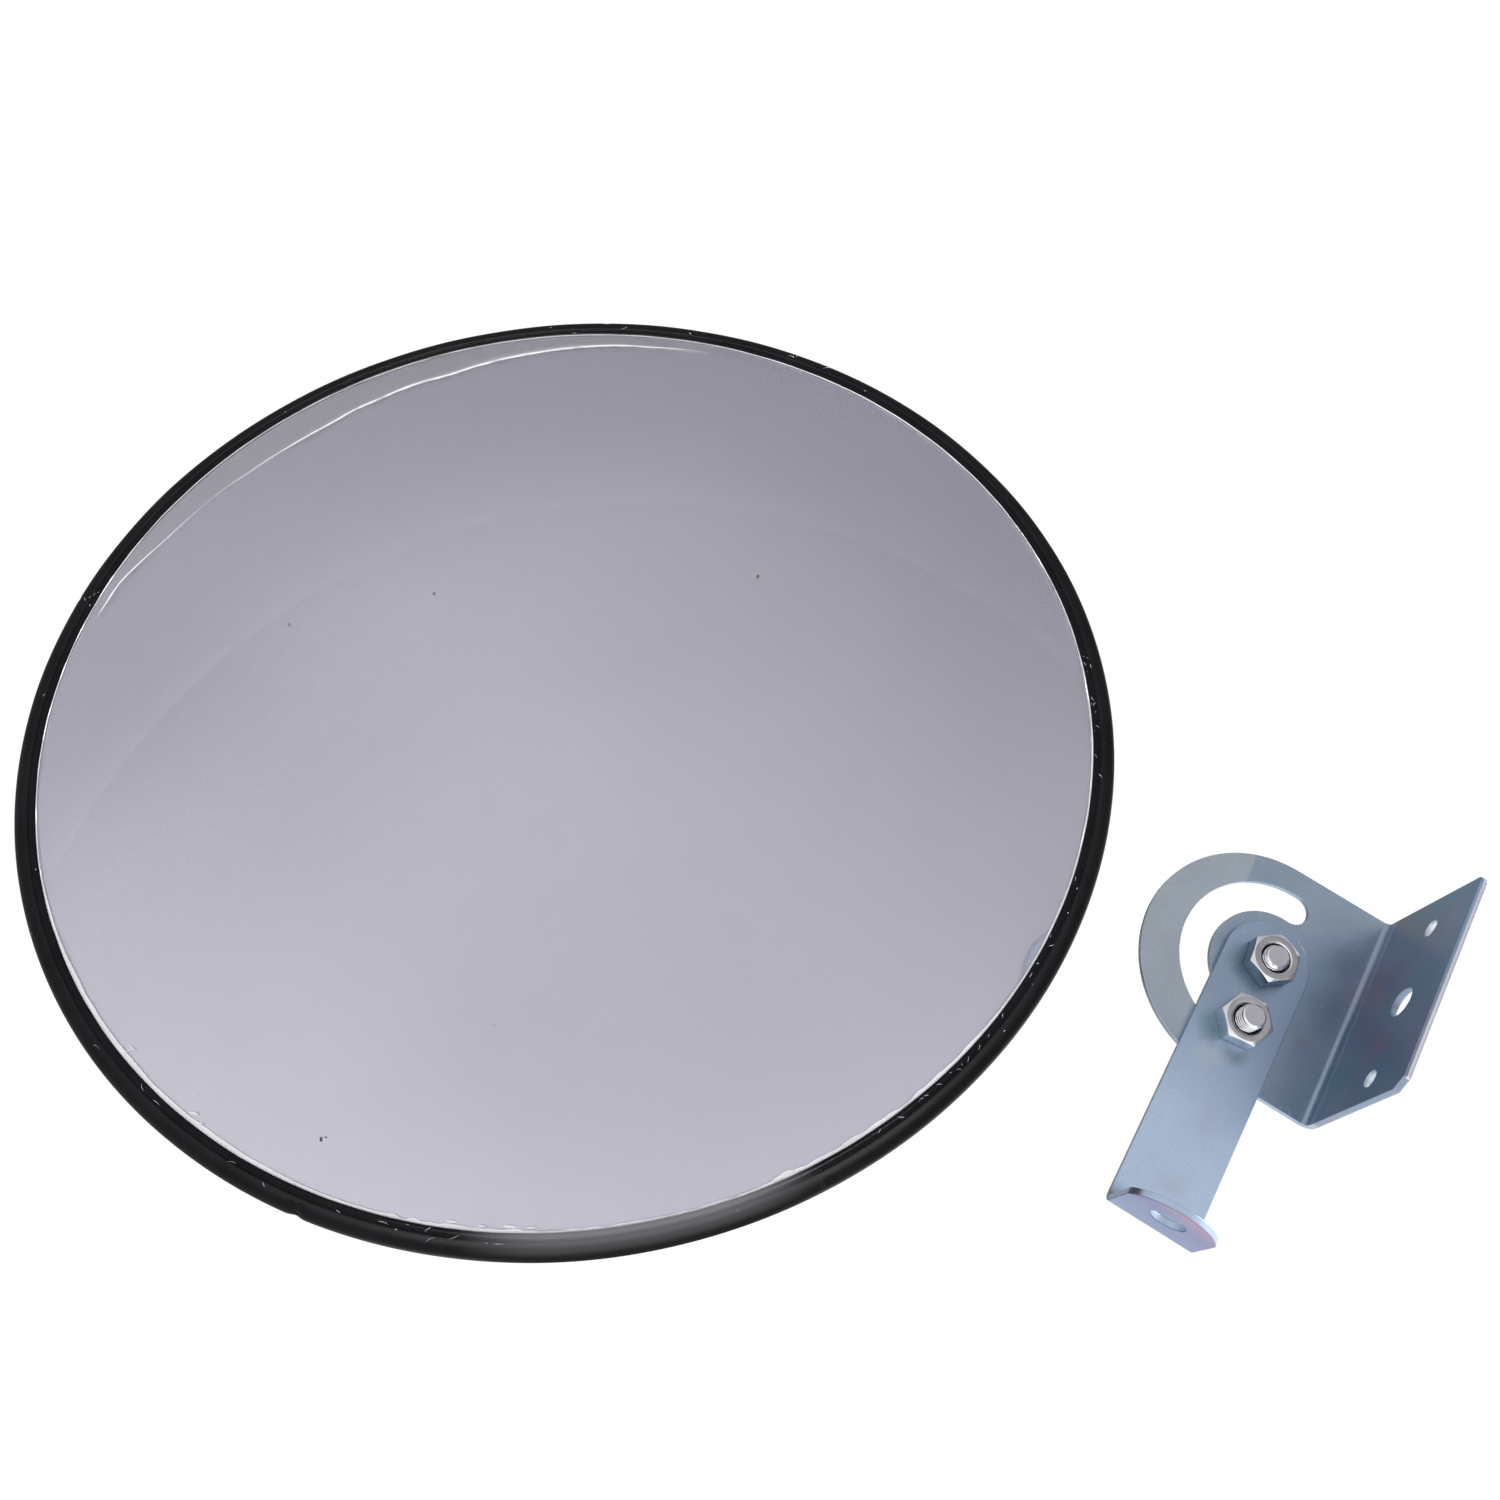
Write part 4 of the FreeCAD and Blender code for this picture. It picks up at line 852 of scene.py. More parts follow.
def mirror_sheet():
    """Dome with a flat rim; the front takes the mirror material, the rest the edge's."""
    back_radius = math.sqrt((DOME_RADIUS - MIRROR_THICK) ** 2 - DOME_CENTRE_Z ** 2)
    rows = [(r, dome_z(r)) for r in (0.05, *np.linspace(2.0, 143.4, FRONT_RINGS))]
    rows += [(143.8, dome_z(143.8) + 0.01), (144.1, 1.82), (144.6, MIRROR_THICK),
             (147.05, MIRROR_THICK), (147.2, 1.65), (147.2, 0.15), (147.05, 0.0),
             (back_radius, 0.0)]
    back = np.linspace(back_radius - 0.8, 2.0, BACK_RINGS)
    rows += [(r, dome_z(r, -MIRROR_THICK)) for r in (*back, 0.05)]
    faces = grid_faces(len(rows), MIRROR_COLS)
    front_faces = (FRONT_RINGS + 1) * MIRROR_COLS
    index = [0 if i < front_faces else 1 for i in range(len(faces))] + [0, 1]
    faces += [cap(0, MIRROR_COLS), cap(len(rows) - 1, MIRROR_COLS)]
    unit_piece("mirror_dome_sheet", (ring_points(rows, MIRROR_COLS), faces), "mirror_acrylic",
               MIRROR, MIRROR_EDGE, sharp=28, node="mirror_dome", face_materials=index)


mirror_sheet()

# ------------------------------------------------------------------ protective film
# The film lies on the dome; towards the unit's -x, +y side it has lifted off in a long crease.
# Crease line: unit x, y (mm)
CREASE = np.array([
    (-133.6, -42.6), (-133.9, -39.8), (-134.5, -36.7), (-135.5, -34.2), (-136.0, -30.5),
    (-135.5, -25.6), (-134.4, -19.1), (-133.3, -12.6), (-132.6, -4.6), (-131.3, 5.0),
    (-130.1, 11.4), (-127.6, 17.6), (-125.7, 24.5), (-123.1, 31.9), (-120.4, 39.1),
    (-117.5, 46.1), (-115.0, 54.7), (-111.0, 61.8), (-107.5, 69.5), (-104.9, 73.5),
    (-98.1, 81.2), (-93.3, 89.6), (-86.2, 98.8), (-78.9, 106.4), (-75.2, 110.1),
    (-66.7, 117.0), (-60.7, 121.1), (-53.9, 124.3), (-44.2, 129.3), (-37.5, 132.4)])
# Strength of the crease: degrees round the dome, share of full height
CREASE_STRENGTH = (
    (0, 0), (104, 0), (110, 0.40), (118, 1), (150, 1), (162, 0.75), (168, 0.5), (172, 0.28),
    (175, 0.06), (180, 0.04), (183, 0.3), (187, 0.6), (192, 0.8), (197.2, 0.6), (198.2, 0),
    (360, 0))
# Offsets of the closely spaced rings from the crease
CREASE_STEPS = (-4.0, -3.0, -2.3, -1.8, -1.4, -1.1, -0.85, -0.65, -0.48, -0.34, -0.22, -0.11,
                0.0, 0.11, 0.22, 0.34, 0.48, 0.65, 0.85, 1.1, 1.4, 1.8, 2.4, 3.2)
# Folds across the loose edge at +x, -y: start and end (x, y), width, height
LOW_FOLDS = (((76, -120), (97, -107), 2.2, 0.30), ((60, -129.5), (78, -121.5), 1.6, 0.26),
             ((84, -113), (101, -101), 3.0, 0.16), ((40, -136), (62, -128), 1.5, 0.20))

FILM_COLS = 720
film_degrees = np.arange(FILM_COLS) * 360.0 / FILM_COLS
film_angles = np.radians(film_degrees)


def crease_radii():
    """Radius of the crease line per film column, smoothed over seven columns."""
    degrees = np.degrees(np.arctan2(CREASE[:, 1], CREASE[:, 0])) % 360
    order = np.argsort(degrees)
    radii = np.hypot(CREASE[:, 0], CREASE[:, 1])[order]
    radii = np.interp(film_degrees, np.concatenate([[0.0, 70.0], degrees[order], [225.0, 360.0]]),
                      np.concatenate([[132.0, 135.0], radii, [134.0, 132.0]]))
    return np.convolve(np.concatenate([radii[-3:], radii, radii[:3]]), np.ones(7) / 7, "valid")


crease_radius = crease_radii()
crease_power = curve(film_degrees, *CREASE_STRENGTH)
crease_height = crease_power * (1 + 0.25 * ripple(film_angles, (23, 41, 67), 4))
film_edge = (143.45 + 0.12 * ripple(film_angles, (9, 17, 31, 53), 5)
             + 0.10 * ripple(film_angles, (90, 131, 180), 6))


def crease_lift(radius):
    """How far the film stands off the dome along and outside the crease."""
    away = radius - crease_radius
    ridge = np.exp(-(np.where(away > 0, away / 0.62, away / 0.34)) ** 2) * 0.30
    furrow = -0.05 * np.exp(-((away + 0.75) / 0.35) ** 2)
    shelf = 0.16 * smooth01((away + 0.1) / 0.5) * smooth01((film_edge - radius) / 2.0)
    wave = (0.05 * np.sin(np.radians(film_degrees) * 37 + radius * 0.22)
            * smooth01((away - 0.5) / 3.0))
    return crease_height * (ridge + furrow + shelf + wave)


def low_folds(x, y):
    height = np.zeros_like(x)
    for (x0, y0), (x1, y1), width, rise in LOW_FOLDS:
        t = (((x - x0) * (x1 - x0) + (y - y0) * (y1 - y0))
             / ((x1 - x0) ** 2 + (y1 - y0) ** 2))
        near = np.clip(t, 0, 1)
        dx, dy = x - (x0 + near * (x1 - x0)), y - (y0 + near * (y1 - y0))
        height += (rise * np.exp(-(dx * dx + dy * dy) / (width * width))
                   * (0.6 + 0.4 * np.sin(t * 9)))
    return height


def film_ring(radius):
    """Top points, underside points and marks (glow, band, shade) of one ring: glow is the painted
    highlight along the crease, shade the painted shade inside it.
    """
    x, y = radius * np.cos(film_angles), radius * np.sin(film_angles)
    lifted = crease_lift(radius) + low_folds(x, y)
    slack = 0.02 * np.sin(x * 0.11 + 1.3) * np.sin(y * 0.09 + 0.4)
    edge_lift = (0.18 * smooth01((radius - film_edge + 0.9) / 0.9)
                 * (0.6 + 0.4 * ripple(film_angles, (13, 29, 47), 9)))
    under = film_z(radius, FILM_GAP)
    top = under + 0.20 + slack + lifted + edge_lift
    bottom = under + np.maximum(lifted - 0.02, 0) * 0.9 + edge_lift * 0.9

    away = radius - crease_radius
    calm = np.clip(crease_power * 1.3, 0, 1)
    outer_highlight = (np.exp(-(away / (1.9 + 0.5 * np.sin(film_angles * 9))) ** 2) * (away < 6)
                  * curve(film_degrees, (100, 0), (112, 0.6), (125, 1), (150, 1), (165, 0.3),
                          (180, 0.12), (199, 0)))
    glow = np.where(away > 0, outer_highlight, np.exp(-(away / 0.5) ** 2) * 0.4 * calm)
    band = (curve(film_degrees, (0, 0), (92, 0), (102, 0.8), (120, 1), (165, 1), (190, 0.8),
                  (200, 0), (360, 0))
            * smooth01(away / 1.2) * smooth01((film_edge - radius) / 1.0))
    shade = np.exp(-((away + 0.95) / 0.45) ** 2) * calm * 0.8
    return (np.column_stack([x, y, top]), np.column_stack([x, y, bottom]),
            np.column_stack([np.clip(glow, 0, 1), band, shade]))


def film_sheet():
    cols = FILM_COLS
    rings = [s * (crease_radius - 5.0) / 0.90 for s in np.linspace(0.0, 0.90, 44)[1:]]
    rings += [crease_radius + step for step in CREASE_STEPS]
    rings += [(crease_radius + CREASE_STEPS[-1]) * (1 - s) + film_edge * s
              for s in np.linspace(0, 1, 13)[1:]]
    top, bottom, marks = map(list, zip(*(film_ring(radius) for radius in rings)))
    half = len(rings) * cols
    last = half - cols
    grid = grid_faces(len(rings), cols)
    faces = grid + [(a + half, d + half, c + half, b + half) for a, b, c, d in grid]
    following = [(j + 1) % cols for j in range(cols)]
    faces += [(last + j, last + k, half + last + k, half + last + j)
              for j, k in enumerate(following)]
    # fans to the two centre points
    centre = 2 * half
    faces += [(centre, j, k) for j, k in enumerate(following)]
    faces += [(centre + 1, half + k, half + j) for j, k in enumerate(following)]
    centre_z = float(dome_z(0, FILM_GAP))
    vertices = np.concatenate(top + bottom + [[(0, 0, centre_z + 0.2), (0, 0, centre_z)]])
    ob = unit_piece("protective_film_sheet", (vertices, faces), "clear_film", CLEAR_FILM,
                    sharp=180, node="protective_film")
    marks = np.concatenate(marks + marks + [np.zeros((2, 3))])
    layer = ob.data.attributes.new("marks", "FLOAT_VECTOR", "POINT")
    layer.data.foreach_set("vector", marks.astype(np.float32).ravel())


def film_crease():
    """Thin rounded ridge along the crease that tapers where the fold fades."""
    start, end = 104.5, 198.0
    degrees = np.arange(start, end, 0.125)
    radii = np.interp(degrees, film_degrees, crease_radius)
    power = np.interp(degrees, film_degrees, crease_power)
    nick = np.exp(-((degrees - 154.3) / 0.28) ** 2)
    width = ((0.02 + 0.42 * power) * (1 + 0.14 * ripple(np.radians(degrees), (61, 97, 151), 14))
             * (1 - 0.55 * nick))
    width = width * smooth01((degrees - start) / 4.0) * smooth01((197.6 - degrees) / 1.0) + 0.012
    # section: across in half-widths, up in heights
    section = ((-1.0, 0.0), (-0.75, 0.5), (-0.2, 0.95), (0.4, 1.0), (0.85, 0.55), (1.0, 0.0))
    vertices = []
    for angle, radius, half_width, strength in zip(np.radians(degrees), radii, width, power):
        for across, up in section:
            r = radius + across * half_width + 0.12
            z = film_z(r, FILM_GAP) + 0.18 + strength * 0.05 + up * (0.05 + 0.38 * strength)
            vertices.append((r * math.cos(angle), r * math.sin(angle), z))
    unit_piece("film_crease_ridge", (vertices, tube_faces(len(degrees), len(section))),
               "clear_film", CREASE_HIGHLIGHT_FILM, sharp=80)


film_sheet()
film_crease()

# ------------------------------------------------------------------ torn margin, lint, dust
MARGIN_COLS = 2160
# Slivers: x, y, length, width, direction (degrees), rise, curl, seed
SHREDS = (
    (-36.0, -136.5, 2.6, 0.22, -8, 0.5, 0.10, 1), (-36.2, -137.2, 2.0, 0.18, 30, 0.4, -0.2, 2),
    (-12.2, -141.4, 2.6, 0.5, 14, 0.4, 0.1, 3), (-9.5, -142.6, 1.8, 0.5, 30, 0.3, 0.0, 4),
    (-14.5, -137.8, 1.4, 0.14, 4, 0.2, 0.05, 5), (56.0, -131.2, 2.8, 0.45, 24, 0.4, 0.15, 6),
    (62.4, -128.6, 2.4, 0.40, 30, 0.5, -0.1, 7), (68.2, -125.4, 3.4, 0.55, 26, 0.4, 0.1, 8),
    (72.4, -123.2, 2.2, 0.4, 36, 0.4, 0.06, 9), (118.8, -80.5, 3.0, 0.7, 52, 0.5, 0.15, 10),
    (115.5, -85.0, 3.6, 0.6, 54, 0.5, -0.1, 11), (122.5, -75.0, 2.4, 0.5, 60, 0.4, 0.1, 12))


def margin_strip():
    """Ragged milky strip between film and trim, torn film and also a painted highlight on the
    film's upturned edge:
    thin all the way round, wide and saw-toothed at two places on the lower rim."""
    degrees = np.arange(MARGIN_COLS) * 360.0 / MARGIN_COLS
    angles = np.radians(degrees)

    def window(start, end, soft):
        """1 from start to end degrees with soft ends, 0 elsewhere."""
        into, span = (degrees - start) % 360, (end - start) % 360
        return smooth01(into / soft) * smooth01((span - into) / soft) * (into < span)

    low_left = window(228, 287, 20)
    low_right = window(321, 352, 4) * curve(degrees, (0, 0), (321, 1), (330, 0.8), (352, 0.3),
                                            (360, 0))
    torn = window(284, 303, 4)
    gap = window(302, 321, 2.5)
    wide = (0.20 + 0.06 * ripple(angles, (11, 23, 37), 21)
            + 0.85 * low_left * (0.85 + 0.15 * ripple(angles, (31, 57, 83), 22))
            + 0.85 * low_right * (0.7 + 0.3 * ripple(angles, (43, 71, 97), 23))
            + 0.18 * window(60, 108, 14) + 0.35 * torn) * (1 - 0.95 * gap)
    jag = np.random.default_rng(31).uniform(0, 1, MARGIN_COLS)
    jag = np.convolve(np.concatenate([jag[-4:], jag, jag[:4]]),
                      np.array([1, 2, 3, 4, 5, 4, 3, 2, 1]) / 25.0, "valid")
    teeth = (jag - 0.5) * 3.6
    saw = 0.05 + 0.80 * low_right + 0.16 * low_left + 0.9 * torn + 0.14 * window(0, 40, 8)
    inner = 143.75 - np.maximum(wide + saw * 0.45 * teeth, 0.03)
    outer = 143.95 + 0.08 * ripple(angles, (19, 41, 73), 25)
    middle = (inner + outer) / 2
    up = 0.22 + 0.10 * ripple(angles, (17, 33, 59), 26) + 0.24 * saw * teeth + 0.12 * low_left
    up = np.clip(up, 0.06, 0.62) * (1 - 0.9 * gap) - 0.15 * gap
    inner_z = dome_z(inner, 0.40) + 0.02
    middle_z = film_z(middle, 0.40) + up * 0.8
    outer_z = dome_z(np.minimum(outer, 143.99), 0.2) + up
    return closed_lathe([(inner, inner_z), (middle, middle_z), (outer, outer_z),
                         (outer + 0.02, outer_z - 0.10), (middle, middle_z - 0.10),
                         (inner + 0.02, inner_z - 0.08)], MARGIN_COLS)


def shred(x, y, length, width, degrees, rise, curl, seed):
    """A thin curled sliver of film with a ragged outline."""
    rand = np.random.default_rng(seed)
    steps = 12
    c, s = math.cos(math.radians(degrees)), math.sin(math.radians(degrees))
    vertices = []
    for i in range(steps + 1):
        t = i / steps
        wide = (width * (0.25 + 0.9 * math.sin(math.pi * min(1, 0.08 + t * 0.95)))
                * rand.uniform(0.6, 1.15))
        along = (t - 0.5) * length
        bend = curl * (t - 0.5) ** 2 * length
        for side, thick in ((-1, 0.0), (1, 0.0), (1, 0.07), (-1, 0.07)):
            across = bend + side * wide / 2
            px, py = x + along * c - across * s, y + along * s + across * c
            radius = math.hypot(px, py)
            if radius < DOME_LIMIT:
                z = float(dome_z(radius, 0.36))
            else:
                z = 2.0 + min(0.66, (radius - DOME_LIMIT) * 0.45)
            z += thick + rise * math.sin(math.pi * t) * rand.uniform(0.7, 1.1)
            vertices.append((px, py, z))
    return vertices, tube_faces(steps + 1, 4)


def lint_flecks(rand):
    """Lint and torn threads on the trim's inner lip and outer band."""
    # degrees round the rim, radius, size
    spots = [(rand.uniform(-26, 44), rand.uniform(144.2, 146.0), 0.9) for _ in range(34)]
    spots += [(rand.uniform(246, 300), rand.uniform(144.6, 147.2), 1.3) for _ in range(14)]
    spots += [(degrees, radius, 1.1) for degrees, radius in (
        (123.0, 144.6), (116.6, 146.6), (108.2, 146.8), (94.2, 148.2), (94.8, 147.4),
        (90.2, 148.8), (90.0, 147.9), (84.0, 146.0), (195.2, 146.2), (195.6, 147.2),
        (194.7, 145.4), (196.2, 145.0))]
    spots += [(rand.uniform(100, 400), rand.uniform(144.4, 149.0), 0.5) for _ in range(12)]
    flecks = []
    for k, (degrees, radius, size) in enumerate(spots):
        angle = math.radians(degrees)
        flecks.append(shred(radius * math.cos(angle), radius * math.sin(angle),
                            length=size * rand.uniform(0.5, 2.0), width=rand.uniform(0.07, 0.18),
                            degrees=degrees + 90 + rand.uniform(-50, 50),
                            rise=rand.uniform(0.03, 0.25), curl=rand.uniform(-0.5, 0.5),
                            seed=100 + k))
    return flecks


def film_dust(rand, sides=9):
    """Flat-topped specks on the film."""
    # x, y and the two half sizes
    spots = [(19.2, -131.6, 0.62, 0.24), (20.0, -130.7, 0.35, 0.12), (-39.1, -1.1, 0.45, 0.20),
             (-70.3, -26.2, 0.5, 0.16), (32.4, 48.9, 0.42, 0.3)]
    for _ in range(16):
        angle, radius = rand.uniform(0, 6.283), 138 * math.sqrt(rand.uniform(0, 1))
        spots.append((radius * math.cos(angle), radius * math.sin(angle),
                      rand.uniform(0.09, 0.19), rand.uniform(0.08, 0.15)))
    specks = []
    for x, y, long_half, short_half in spots:
        tilt = rand.uniform(0, 3.14)
        base, top = [], []
        for j in range(sides):
            t = j * 2 * math.pi / sides
            size = rand.uniform(0.75, 1.2)
            dx, dy = long_half * size * math.cos(t), short_half * size * math.sin(t)
            px = x + dx * math.cos(tilt) - dy * math.sin(tilt)
            py = y + dx * math.sin(tilt) + dy * math.cos(tilt)
            z = float(dome_z(math.hypot(px, py), 0.33))
            base.append((px, py, z))
            top.append((x + (px - x) * 0.7, y + (py - y) * 0.7, z + short_half * 0.35))
        specks.append((base + top, tube_faces(2, sides)))
    return specks


debris_rand = np.random.default_rng(77)
for name, parts, material in (
        ("film_torn_margin", [margin_strip()] + [shred(*row) for row in SHREDS], TORN_FILM_AND_EDGE_SHEEN),
        ("film_lint", lint_flecks(debris_rand), LINT_FILM),
        ("dust_specks_on_film", film_dust(debris_rand), SPECK)):
    unit_piece(name, merge(parts), "clear_film", material, sharp=50)

# ------------------------------------------------------------------ edge trim
# A rubber channel: matt outer band, a step, a narrow glossy lip; butt joint at 195.4 degrees.
TRIM_COLS = 1440
# Section: radius, z, on the lip, on the upper face
TRIM_SECTION = (
    (147.2, -1.8, 0, 0), (147.2, 0.0, 0, 0), (147.2, 1.8, 0, 0), (146.0, 1.81, 0, 0),
    (144.55, 1.81, 0, 0), (144.05, 1.86, 1, 0), (143.98, 1.97, 1, 0), (144.00, 2.13, 1, 1),
    (144.14, 2.27, 1, 1), (144.42, 2.37, 1, 1), (144.85, 2.42, 1, 1), (145.20, 2.42, 1, 1),
    (145.42, 2.36, 1, 1), (145.56, 2.26, 0, 1), (145.68, 2.22, 0, 1), (145.80, 2.26, 0, 1),
    (145.92, 2.42, 0, 1), (146.08, 2.56, 0, 1), (146.35, 2.64, 0, 1), (146.80, 2.66, 0, 1),
    (147.5, 2.64, 0, 1), (148.15, 2.56, 0, 1), (148.72, 2.38, 0, 1), (149.18, 2.10, 0, 1),
    (149.56, 1.70, 0, 1), (149.80, 1.20, 0, 0), (149.92, 0.6, 0, 0), (149.95, 0.0, 0, 0),
    (149.92, -0.6, 0, 0), (149.80, -1.2, 0, 0), (149.56, -1.70, 0, 0), (149.18, -2.10, 0, 0),
    (148.72, -2.38, 0, 0), (148.15, -2.56, 0, 0), (147.4, -2.63, 0, 0), (146.2, -2.65, 0, 0),
    (145.0, -2.62, 0, 0), (144.4, -2.50, 0, 0), (144.08, -2.32, 0, 0), (144.0, -2.12, 0, 0),
    (144.02, -1.95, 0, 0), (144.15, -1.83, 0, 0), (145.5, -1.81, 0, 0))


def edge_trim():
    degrees = np.arange(TRIM_COLS) * 360.0 / TRIM_COLS
    angles = np.radians(degrees)
    wobble_r = 0.10 * ripple(angles, (5, 9, 14, 22), 41)
    wobble_z = 0.07 * ripple(angles, (6, 11, 19, 27), 42)
    lip_wobble = 0.08 * ripple(angles, (15, 27, 44, 63), 43)
    chip = np.exp(-((degrees - 278.7) / 0.55) ** 2)
    small_chip = np.exp(-((degrees - 119.0) / 0.30) ** 2) * 0.5
    joint = np.exp(-((degrees - 195.4) / 0.12) ** 2)
    rows = []
    for r, z, lip, upper in TRIM_SECTION:
        free = max(0.0, min(1.0, (r - 145.5) / 3.0))
        radius = (r + wobble_r * (0.3 if r > 147.3 else 0.0) * free
                  + (lip_wobble * 0.5 if lip and z > 2.0 else 0))
        height = z + wobble_z * upper + (lip_wobble * 0.35 if lip and z > 2.1 else 0)
        if r > 148.0:
            radius = radius - 0.9 * chip * (1 if z > 0.6 else 0.5) - 0.4 * small_chip
            height = height - (0.25 * chip if z > 0.6 else 0)
        if upper or r > 147.3 or z < -1.9:
            radius = radius - 0.14 * joint * (1 if r > 146 else -0.3)
            height = height - 0.16 * joint * (1 if z > 0 else -1)
        rows.append((radius, height))
    unit_piece("edge_trim_rubber", closed_lathe(rows, TRIM_COLS), "black_rubber", RUBBER,
               sharp=60, node="edge_trim")


edge_trim()


# ------------------------------------------------------------------ CAD pieces that stay
def dress(node, material, bevel, segments=2):
    """Give a CAD piece its material, clean faces and, if bevel (mm) is set, broken edges."""
    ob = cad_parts[node]
    ob.data.materials.clear()
    ob.data.materials.append(material)
    ob.modifiers.new("weld", "WELD").merge_threshold = 2e-6
    planar = ob.modifiers.new("planar", "DECIMATE")
    planar.decimate_type = "DISSOLVE"
    planar.angle_limit = math.radians(0.6)
    if bevel:
        edge = ob.modifiers.new("edge_break", "BEVEL")
        edge.limit_method = "ANGLE"
        edge.angle_limit = math.radians(32)
        edge.width = bevel * MM
        edge.segments = segments
        edge.use_clamp_overlap = True
        edge.miter_outer = "MITER_ARC"
    normals = ob.modifiers.new("faces", "WEIGHTED_NORMAL")
    normals.keep_sharp = False
    normals.weight = 80


dress("wall_plate", WALL_ZINC, bevel=0.16, segments=3)
dress("swing_arm", ARM_ZINC, bevel=0.16, segments=3)
dress("mounting_plate", MOUNT_ZINC, bevel=0)
dress("backing_board", BOARD, bevel=0.25)
dress("mounting_plate_rivets", ALUMINIUM, bevel=0)
dress("threaded_insert", HARDWARE, bevel=0.12)

# ------------------------------------------------------------------ floor and world (metres)
FLOOR_Z, FLOOR_HALF = -0.42, 60.0
# Studio brightness as a second-order function of direction: the constant, the weights of
# (x, y, z), of their squares and of (xy, yz, zx), and the limits
STUDIO_BASE, STUDIO_LINEAR = 1.0392, (-0.7131, 0.7287, -0.9116)
STUDIO_SQUARES, STUDIO_PRODUCTS = (0.4103, 0.3272, 0.3017), (-0.6934, -0.5278, 0.5857)
STUDIO_LOW, STUDIO_HIGH = 0.16, 1.15
STUDIO_TINT = (0.99, 0.993, 1.023)


def studio(nodes, direction):
    """Colour that polished and satin surfaces see in a direction."""
    x, y, z = nodes.split(direction)
    cycled = nodes.node("CombineXYZ", i0=y, i1=z, i2=x).outputs[0]
    total = nodes.add(nodes.dot(direction, STUDIO_LINEAR), STUDIO_BASE)
    total = nodes.add(total, nodes.dot(nodes.stretch(direction, direction), STUDIO_SQUARES))
    total = nodes.add(total, nodes.dot(nodes.stretch(direction, cycled), STUDIO_PRODUCTS))
    total = nodes.math("MINIMUM", nodes.math("MAXIMUM", total, STUDIO_LOW), STUDIO_HIGH)
    # dimmer towards -X, -Y, a little less so low down
    rear = nodes.mul(nodes.fade(x, lo=-0.20, hi=-0.65), nodes.fade(y, lo=0.20, hi=-0.15))
    height = nodes.mul(nodes.fade(z, lo=-0.35, hi=0.25), 0.15)
    rear = nodes.mul(rear, nodes.add(0.50, height))
    total = nodes.mul(total, nodes.sub(1, rear))
    return nodes.node("VectorMath", {"operation": "SCALE"}, i0=STUDIO_TINT,
                      Scale=total).outputs["Vector"]


def floor_material():
    """Pale floor that glows a little; glossy rays see the studio instead."""
    mat, pos = new_material("pale_floor")
    glossy = mat.node("LightPath").outputs["Is Glossy Ray"]
    direction = mat.stretch(mat.node("NewGeometry").outputs["Incoming"], (-1, -1, -1))
    colour = mat.mix(mat.noise(pos, scale=8, detail=3), (0.86, 0.86, 0.86), (0.90, 0.90, 0.90))
    glow = mat.node("Emission", Color=(1, 1, 1), Strength=0.62).outputs[0]
    pale = mat.node("AddShader", i0=mat.node("BsdfDiffuse", Color=colour).outputs[0], i1=glow)
    seen = mat.node("Emission", Color=studio(mat, direction), Strength=1.0)
    return mat.finish(mat.mix_shader(glossy, pale.outputs[0], seen.outputs[0]))


def studio_floor():
    me = bpy.data.meshes.new("studio_floor")
    corners = ((-1, -1), (1, -1), (1, 1), (-1, 1))
    me.from_pydata([(x * FLOOR_HALF, y * FLOOR_HALF, FLOOR_Z) for x, y in corners], [],
                   [(0, 1, 2, 3)])
    floor = bpy.data.objects.new("studio_floor", me)
    bpy.context.scene.collection.objects.link(floor)
    me.materials.append(floor_material())


def studio_world():
    """Glossy rays see the studio, the camera sees white, the rest a soft even light."""
    world = bpy.data.worlds.new("studio")
    bpy.context.scene.world = world
    nodes = Nodes(world, "OutputWorld")
    rays = nodes.node("LightPath").outputs
    direction = nodes.node("TexCoord").outputs["Generated"]
    seen = nodes.node("Background", Color=studio(nodes, direction)).outputs[0]
    soft = nodes.node("Background", Color=(0.96, 0.97, 1.0), Strength=0.62).outputs[0]
    white = nodes.node("Background", Color=(1, 1, 1), Strength=1.02).outputs[0]
    lit = nodes.mix_shader(rays["Is Glossy Ray"], soft, seen)
    nodes.finish(nodes.mix_shader(rays["Is Camera Ray"], lit, white))


studio_floor()
studio_world()

# ------------------------------------------------------------------ lights and camera (metres)
NUTS = ["pivot_nut_m6", "clamp_nut_m6"]
BRACKET = [
    "pivot_bolt_m6", "clamp_bolt_m6", *NUTS, "pivot_washer_flat", "clamp_washer_flat",
    "mounting_bolt_m6", "mounting_spring_washer_split", "mounting_washer_flat",
    *(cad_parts[node] for node in ("wall_plate", "swing_arm", "mounting_plate",
                                        "mounting_plate_rivets", "threaded_insert",
                                        "backing_board"))]
FILM_EDGES = ["film_torn_margin", "film_crease_ridge", "film_lint"]


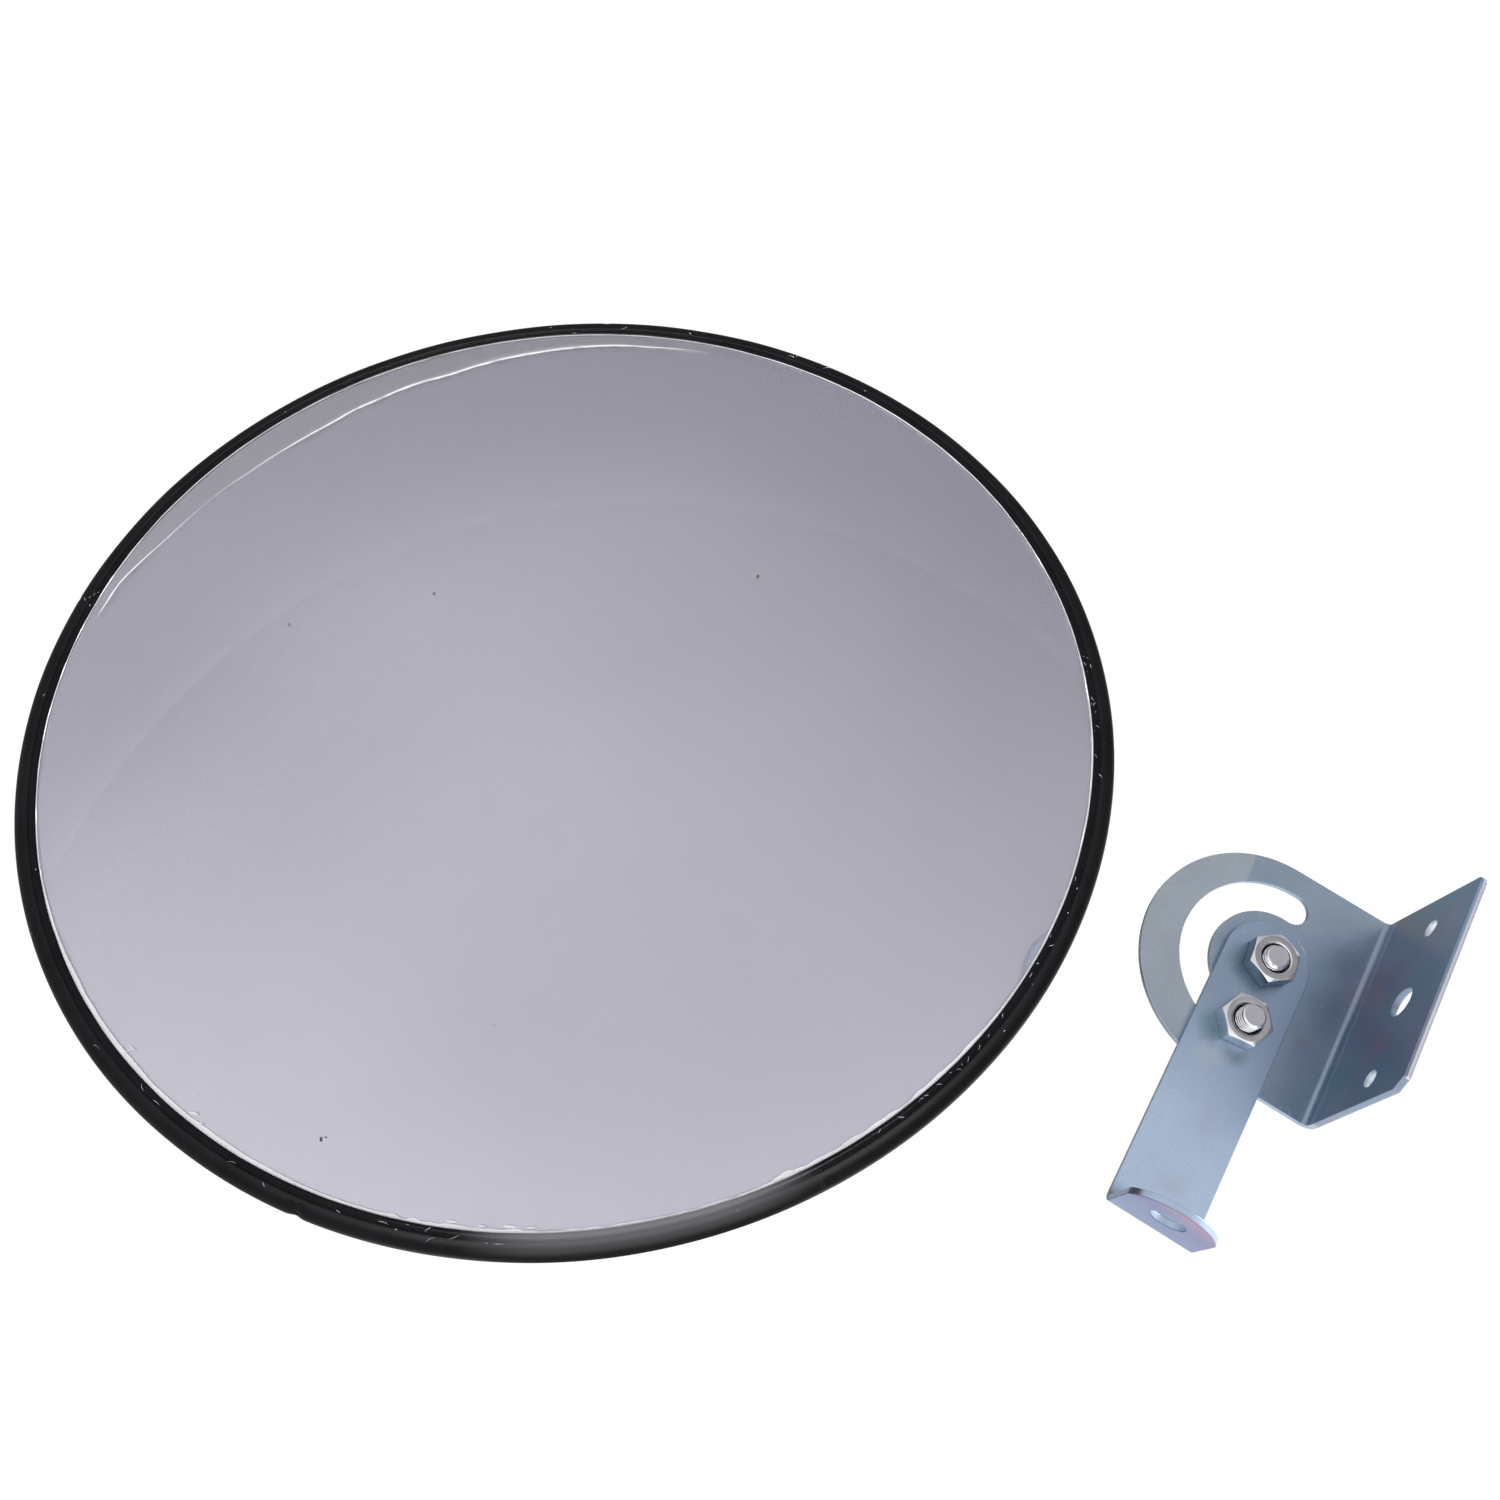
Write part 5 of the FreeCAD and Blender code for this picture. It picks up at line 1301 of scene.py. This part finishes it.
def disk_light(name, at, look, size, power, receivers, colour=(1, 1, 1), shine=1.0):
    """Disk light from `at` towards `look`, falling only on the receivers."""
    light = bpy.data.lights.new(name, "AREA")
    light.shape = "DISK"
    light.size = size
    light.energy = power
    light.color = colour
    light.specular_factor = shine
    ob = bpy.data.objects.new(name, light)
    bpy.context.scene.collection.objects.link(ob)
    ob.location = at
    ob.rotation_mode = "QUATERNION"
    ob.rotation_quaternion = (Vector(look) - Vector(at)).to_track_quat("-Z", "Y")
    ob.visible_camera = False
    group = bpy.data.collections.new(name + "_receivers")
    for item in receivers:
        group.objects.link(bpy.data.objects[item] if isinstance(item, str) else item)
    ob.light_linking.receiver_collection = group


disk_light("soft_key", at=(0.15, 1.05, 1.15), look=(-0.03, -0.10, 0.0), size=0.7, power=9.0,
           colour=(1.0, 0.99, 0.97), shine=0.12,
           receivers=[item for item in BRACKET if item not in NUTS] + FILM_EDGES)
disk_light("glint", at=(1.02, 0.02, -0.62), look=(-0.02, -0.03, 0.0), size=0.16, power=2.6,
           receivers=BRACKET + FILM_EDGES)
disk_light("film_edge_light", at=(0.75, -0.35, 0.75), look=(-0.08, -0.20, 0.0), size=0.5,
           power=14.0, receivers=FILM_EDGES)
disk_light("trim_sheen", at=(0.95, -0.50, 0.12), look=(-0.059, -0.115, -0.12), size=0.30,
           power=10.0, colour=(0.97, 0.98, 1.0), receivers=["edge_trim_rubber"])

CAMERA_AT = Vector((0.31246, -0.12555, -0.1694))
CAMERA_FORWARD = Vector((-0.9107, -0.0777, 0.4058)).normalized()
CAMERA_RIGHT = Vector((0.1519, 0.8504, 0.5037))     # squared up to forward below


def add_camera():
    cam = bpy.data.cameras.new("camera")
    cam.sensor_width = 36.0
    cam.sensor_fit = "HORIZONTAL"
    cam.lens = 37.488
    cam.clip_start, cam.clip_end = 0.01, 200.0
    ob = bpy.data.objects.new("camera", cam)
    bpy.context.scene.collection.objects.link(ob)
    right = (CAMERA_RIGHT - CAMERA_FORWARD * CAMERA_RIGHT.dot(CAMERA_FORWARD)).normalized()
    turned = Matrix((right, right.cross(CAMERA_FORWARD), -CAMERA_FORWARD)).transposed()
    ob.matrix_world = Matrix.Translation(CAMERA_AT) @ turned.to_4x4()
    bpy.context.scene.camera = ob


add_camera()
bpy.context.scene.view_settings.view_transform = "Standard"
